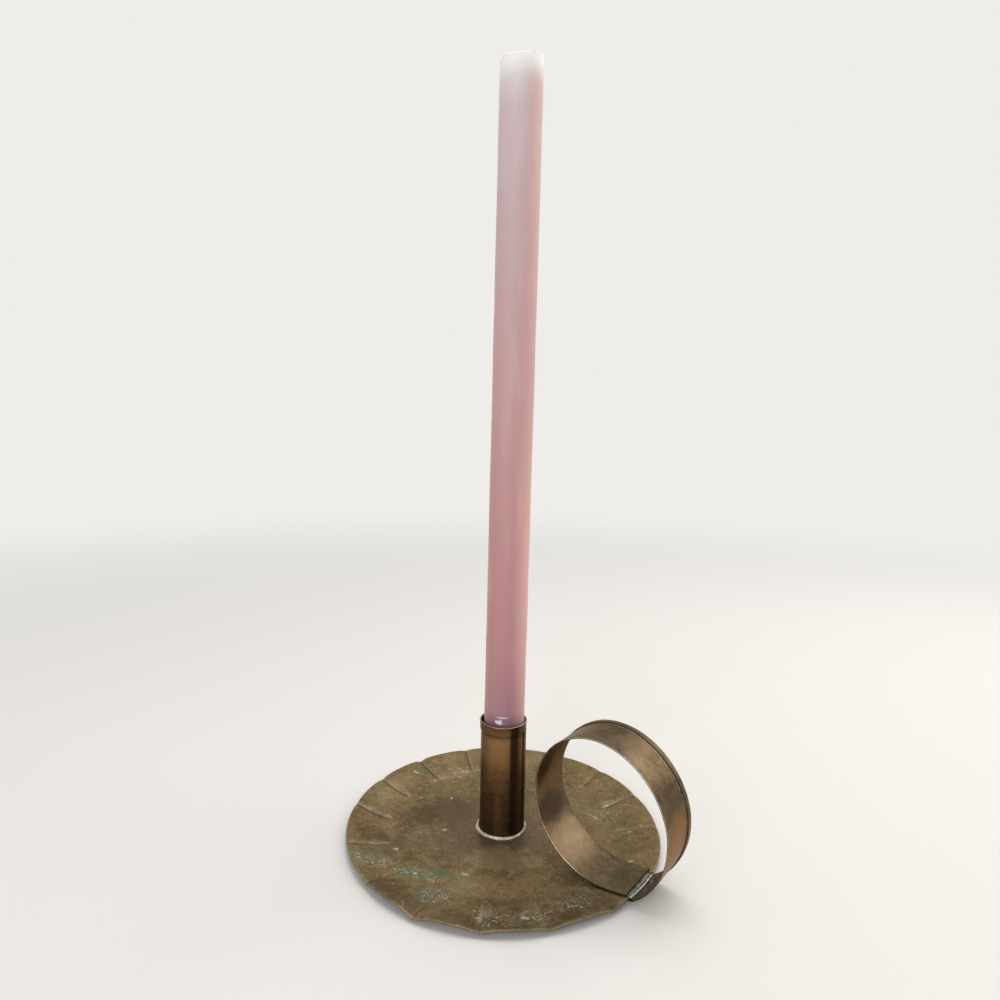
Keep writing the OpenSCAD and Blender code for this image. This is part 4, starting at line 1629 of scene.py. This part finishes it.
@dataclass
class Candle:
    """Overdipped dinner candle that leans a little in its socket.

    Attributes:
        radius: radius of the candle.
        length: length along its axis.
        lean: its lean towards +X.
        foot_z: height of its foot.
        coat: thickness of the coloured overdip.
        coat_taper: length over which the overdip runs out into the body.
        film: space between the overdip and the white body.
        cut_slant: slant of the cut across its top.
        cut_turn: direction towards which the cut rises.
        bare_tip: length that the overdip leaves bare.
        wick: radius of the wick.
        wick_foot: height of the wick's lower end in the candle.
        columns: columns of faces round the candle.
    """

    radius: float = 10.7
    length: float = 394.0
    lean: float = 0.4
    foot_z: float = 1.075
    coat: float = 0.5
    coat_taper: float = 5.0
    film: float = 0.02
    cut_slant: float = 18.0
    cut_turn: float = 78.0
    bare_tip: float = 12.5
    wick: float = 0.9
    wick_foot: float = 12.0
    columns: int = 120
    # In the pink wax's fade, the dark stops from 58 to 62 mm are painted shade where the candle stands in the
    # socket's mouth.
    dipped: Wax = field(default_factory=lambda: Wax("pink_wax", fade=(
        (46.0, (170, 121, 133)), (58.0, (108, 78, 100)), (62.0, (108, 78, 100)),
        (69.0, (170, 121, 134)), (100.0, (183, 133, 138)),
        (150.0, (187, 139, 140)), (180.0, (190, 144, 144)), (260.0, (192, 156, 158)),
        (320.0, (193, 167, 171)), (368.0, (197, 177, 181)), (380.0, (210, 197, 198)),
        (386.0, (228, 223, 221)), (390.0, (239, 235, 232)))))
    white: Wax = field(default_factory=lambda: Wax("white_wax", fade=(
        (368.0, (197, 177, 181)), (380.0, (210, 197, 198)), (386.0, (228, 223, 221)),
        (390.0, (239, 235, 232)))))

    @property
    def coat_top(self) -> float:
        """Height at which the overdip ends."""
        return self.length - self.bare_tip

    def stand(self, bm: BMesh) -> None:
        """Leans a mesh drawn along Z and stands it on the candle's foot."""
        turn = Matrix.Rotation(math.radians(self.lean), 4, "Y")
        bmesh.ops.transform(bm, matrix=Matrix.Translation((0, 0, self.foot_z)) @ turn, verts=bm.verts[:])

    def cut_off(self, bm: BMesh) -> list[BMEdge]:
        """Cuts the slanted top and leaves the cut open.

        Args:
            bm: mesh drawn along Z.

        Returns:
            The edges round the cut.
        """
        turn = Matrix.Rotation(math.radians(self.cut_turn), 3, "Z")
        normal = turn @ Matrix.Rotation(-math.radians(self.cut_slant), 3, "Y") @ Vector((0, 0, 1))
        bmesh.ops.bisect_plane(bm, geom=bm.verts[:] + bm.edges[:] + bm.faces[:], dist=0.001,
                               plane_co=(0, 0, self.length), plane_no=normal, clear_outer=True)
        return [e for e in bm.edges if e.is_boundary]

    def build_body(self) -> bpy.types.Object:
        """Spins the white body round the wick's hole, cuts its top and eases the cut's edge.

        Returns:
            The finished body.
        """
        bm = bmesh.new()
        r = self.radius - self.coat
        over = self.length + self.radius
        low, high = self.coat_top - self.coat_taper, self.coat_top
        outline = [(0.0, 0.0), (r - 0.4, 0.0)] + fine_line((r, 0.4), (r, low), 12.0)
        outline += fine_line((r, low), (self.radius - 3 * self.film, high), 1.0)
        outline += [(self.radius - 3 * self.film, high)]
        outline += fine_line((self.radius, high + 0.6), (self.radius, over), 1.4)
        outline += [(self.radius, over), (self.wick, over)]
        outline += fine_line((self.wick, self.length - 12), (self.wick, self.wick_foot), 14.0)
        outline += [(self.wick, self.wick_foot), (0.0, self.wick_foot)]
        turn_outline(bm, outline, self.columns, closed=False)
        loops = self.cut_off(bm)
        rim = [e for e in loops if e.verts[0].co.xy.length > self.radius / 2]
        bmesh.ops.bridge_loops(bm, edges=loops)
        bmesh.ops.recalc_face_normals(bm, faces=bm.faces[:])
        bmesh.ops.bevel(bm, geom=rim, offset=0.5, offset_type="OFFSET", affect="EDGES", segments=4,
                        profile=0.5, material=-1)
        for vert in bm.verts:
            if vert.co.z > high + 1 and vert.co.xy.length > self.radius / 2:
                turn = math.degrees(math.atan2(vert.co.y, vert.co.x)) % 360
                top = ease((vert.co.z - self.length + 6) / 5)
                chipped = math.exp(-((turn - 192) / 20) ** 2) * ease((vert.co.z - self.length + 4) / 3)
                vert.co.xy *= 1 + 0.012 * ripple(vert.co, 4, 3) * top - 0.04 * chipped
                vert.co.z += 0.2 * ripple(vert.co, 3, 5) * top - 0.6 * chipped
        self.stand(bm)
        piece = Piece("candle_body", Body.CANDLE, Slot.WHITE_WAX, "candle_core")
        return piece.hand_over(bm, self.white.material())

    def build_overdip(self) -> bpy.types.Object:
        """Spins the coloured coat, thins its upper edge and gives it the waves of dipping.

        Returns:
            The finished coat.
        """
        bm = bmesh.new()
        bore = self.radius - self.coat + self.film
        top = self.coat_top
        taper = self.coat_taper
        outline = [(bore, 0.0), (self.radius - 0.5, 0.0), (self.radius, 0.5)]
        outline += fine_line((self.radius, 3.0), (self.radius, top - 0.2), 3.0) + [(self.radius, top - 0.2)]
        outline += [(self.radius - self.film / 2, top), (self.radius - 1.5 * self.film, top)]
        outline += fine_line((bore, top - taper), (bore, 20.0), 12.0)
        turn_outline(bm, outline, self.columns)
        for vert in bm.verts:
            place = vert.co.copy()
            around = Vector((place.x, place.y, 0))
            if around.length > self.radius - 0.1 and place.z < top - 1:
                calm = ease((place.z - 64) / 12) * ease((top - 1 - place.z) / taper)
                stretched = Vector((place.x, place.y, place.z * 0.45))
                wave = 0.16 * ripple(stretched, 11, 6) + 0.06 * ripple(stretched, 4, 8)
                vert.co.xy *= 1 + min(wave * calm, 0.25) / self.radius
        bmesh.ops.recalc_face_normals(bm, faces=bm.faces[:])
        self.stand(bm)
        piece = Piece("candle_overdip", Body.CANDLE, Slot.PINK_WAX, "candle_coat")
        return piece.hand_over(bm, self.dipped.material())

    def build_wick(self) -> bpy.types.Object:
        """Twists a three-lobed yarn up through the body and cuts it with the wax.

        Returns:
            The finished wick.
        """
        bm = bmesh.new()
        lobes = 3
        made = bmesh.ops.create_circle(bm, segments=lobes * 6, radius=self.wick - 0.16)["verts"]
        for vert in made:
            turn = math.atan2(vert.co.y, vert.co.x)
            vert.co.xy *= 1 + 0.16 * math.cos(lobes * turn)
        bmesh.ops.translate(bm, vec=(0, 0, self.wick_foot), verts=made)
        edges = bm.edges[:]
        steps = 200
        rise = (self.length + self.radius - self.wick_foot) / steps
        for _ in range(steps):
            geom = bmesh.ops.extrude_edge_only(bm, edges=edges)["geom"]
            verts = [g for g in geom if isinstance(g, BMVert)]
            ring = set(verts)
            edges = [g for g in geom if isinstance(g, BMEdge) and set(g.verts) <= ring]
            bmesh.ops.translate(bm, vec=(0, 0, rise), verts=verts)
            bmesh.ops.rotate(bm, cent=(0, 0, 0), matrix=Matrix.Rotation(math.radians(24), 3, "Z"),
                             verts=verts)
        self.cut_off(bm)
        close_ends(bm)
        self.stand(bm)
        piece = Piece("braided_wick", Body.CANDLE, Slot.COTTON, "candle_wick")
        return piece.hand_over(bm, Cotton().material())

    def build(self) -> list[bpy.types.Object]:
        """Builds the body, its overdip and the wick."""
        return [self.build_body(), self.build_overdip(), self.build_wick()]


@dataclass
class Studio:
    """Pale floor, soft light and the camera at the photograph's place.

    Attributes:
        camera_place: the camera, in millimetres.
        pitch: angle by which it looks down.
        roll: angle by which it leans.
        lens: its lens, for a sensor 36 mm wide.
        backdrop: colour of the pale background.
        floor: colour of the floor.
    """

    camera_place: tuple[float, float, float] = (-4.0, -349.6, 215.9)
    pitch: float = 6.05
    roll: float = 1.07
    lens: float = 24.48
    backdrop: Rgb = (238, 237, 234)
    floor: Rgb = (226, 224, 220)

    def add_camera(self) -> None:
        """Stands the camera where the photograph was taken from."""
        data = bpy.data.cameras.new("camera")
        data.lens = self.lens
        data.sensor_width = 36.0
        data.clip_start = 0.01
        camera = bpy.data.objects.new("camera", data)
        tilt = Matrix.Rotation(math.radians(90 - self.pitch), 4, "X")
        lean = Matrix.Rotation(math.radians(self.roll), 4, "Z")
        camera.matrix_world = Matrix.Translation(Vector(self.camera_place) * MM) @ tilt @ lean
        bpy.context.scene.collection.objects.link(camera)
        bpy.context.scene.camera = camera

    def add_light(self, name: str, place: tuple[float, float, float], size: float, power: float,
                  tint: Rgb = (255, 255, 255)) -> None:
        """Hangs one soft square light that faces the chamberstick.

        Args:
            name: its name.
            place: its place, in metres.
            size: its side, in metres.
            power: its power, in watts.
            tint: its colour.
        """
        data = bpy.data.lights.new(name, "AREA")
        data.shape = "SQUARE"
        data.size = size
        data.energy = power
        data.color = linear(tint)[:3]
        lamp = bpy.data.objects.new(name, data)
        lamp.location = place
        lamp.rotation_euler = (Vector((0, 0, 0.15)) - Vector(place)).to_track_quat("-Z", "Y").to_euler()
        bpy.context.scene.collection.objects.link(lamp)

    def add_world(self, level: float) -> None:
        """Lights the room evenly and shows a pale background to the camera and in reflections.

        Args:
            level: strength of the even light.
        """
        world = bpy.data.worlds.new("room")
        bpy.context.scene.world = world
        world.use_nodes = True
        tree = world.node_tree
        tree.nodes.clear()
        out = tree.nodes.new("ShaderNodeOutputWorld")
        mix = tree.nodes.new("ShaderNodeMixShader")
        seen = tree.nodes.new("ShaderNodeBackground")
        seen.inputs["Color"].default_value = linear(self.backdrop)
        light = tree.nodes.new("ShaderNodeBackground")
        light.inputs["Color"].default_value = (1, 1, 1, 1)
        light.inputs["Strength"].default_value = level
        path = tree.nodes.new("ShaderNodeLightPath")
        add = tree.nodes.new("ShaderNodeMath")
        add.operation = "ADD"
        also = tree.nodes.new("ShaderNodeMath")
        also.operation = "ADD"
        also.use_clamp = True
        tree.links.new(path.outputs["Is Camera Ray"], add.inputs[0])
        tree.links.new(path.outputs["Is Glossy Ray"], add.inputs[1])
        tree.links.new(add.outputs[0], also.inputs[0])
        tree.links.new(path.outputs["Is Transmission Ray"], also.inputs[1])
        tree.links.new(also.outputs[0], mix.inputs[0])
        tree.links.new(light.outputs[0], mix.inputs[1])
        tree.links.new(seen.outputs[0], mix.inputs[2])
        tree.links.new(mix.outputs[0], out.inputs["Surface"])

    def add_floor(self) -> None:
        """Lays a wide pale floor that fades into the background."""
        bm = bmesh.new()
        bmesh.ops.create_circle(bm, cap_ends=True, segments=96, radius=6.0)
        mesh = bpy.data.meshes.new("floor")
        bm.to_mesh(mesh)
        bm.free()
        floor = bpy.data.objects.new("floor", mesh)
        bpy.context.scene.collection.objects.link(floor)
        r = Recipe("pale_floor")
        r.settle(Base_Color=linear(self.floor), Roughness=0.8, Specular_IOR_Level=0.2)
        far = r.tree.nodes.new("ShaderNodeEmission")
        far.inputs["Color"].default_value = linear(self.backdrop)
        length = r.tree.nodes.new("ShaderNodeVectorMath")
        length.operation = "LENGTH"
        r.tree.links.new(r.place, length.inputs[0])
        fade = r.tree.nodes.new("ShaderNodeMixShader")
        r.tree.links.new(r.window(length.outputs["Value"], 250.0, 1400.0), fade.inputs[0])
        r.tree.links.new(r.shader.outputs[0], fade.inputs[1])
        r.tree.links.new(far.outputs[0], fade.inputs[2])
        r.tree.links.new(fade.outputs[0], r.output.inputs["Surface"])
        mesh.materials.append(r.material)

    def build(self) -> None:
        """Sets up the camera, the room and the lights."""
        bpy.context.scene.view_settings.view_transform = "Standard"
        self.add_camera()
        self.add_world(0.45)
        self.add_floor()
        self.add_light("top_light", (0.1, 0.25, 1.5), 1.0, 10.0)
        self.add_light("right_light", (0.9, 0.25, 0.7), 0.9, 5.2, (255, 244, 236))
        self.add_light("front_light", (-0.6, -1.2, 0.7), 0.8, 8.0)


def main() -> None:
    """Builds the chamberstick class by class."""
    logging.basicConfig(level=logging.INFO, format="%(name)s: %(message)s")
    Studio().build()
    pan = DripPan()
    for made in (pan.build(), CandleSocket().build(), *RingHandle(pan).build(), *Candle().build()):
        low, high = [Vector(c) for c in (made.bound_box[0], made.bound_box[6])]
        log.info("%s is %s mm", made.name, [round(v / MM, 1) for v in high - low])


if __name__ == "__main__":
    main()
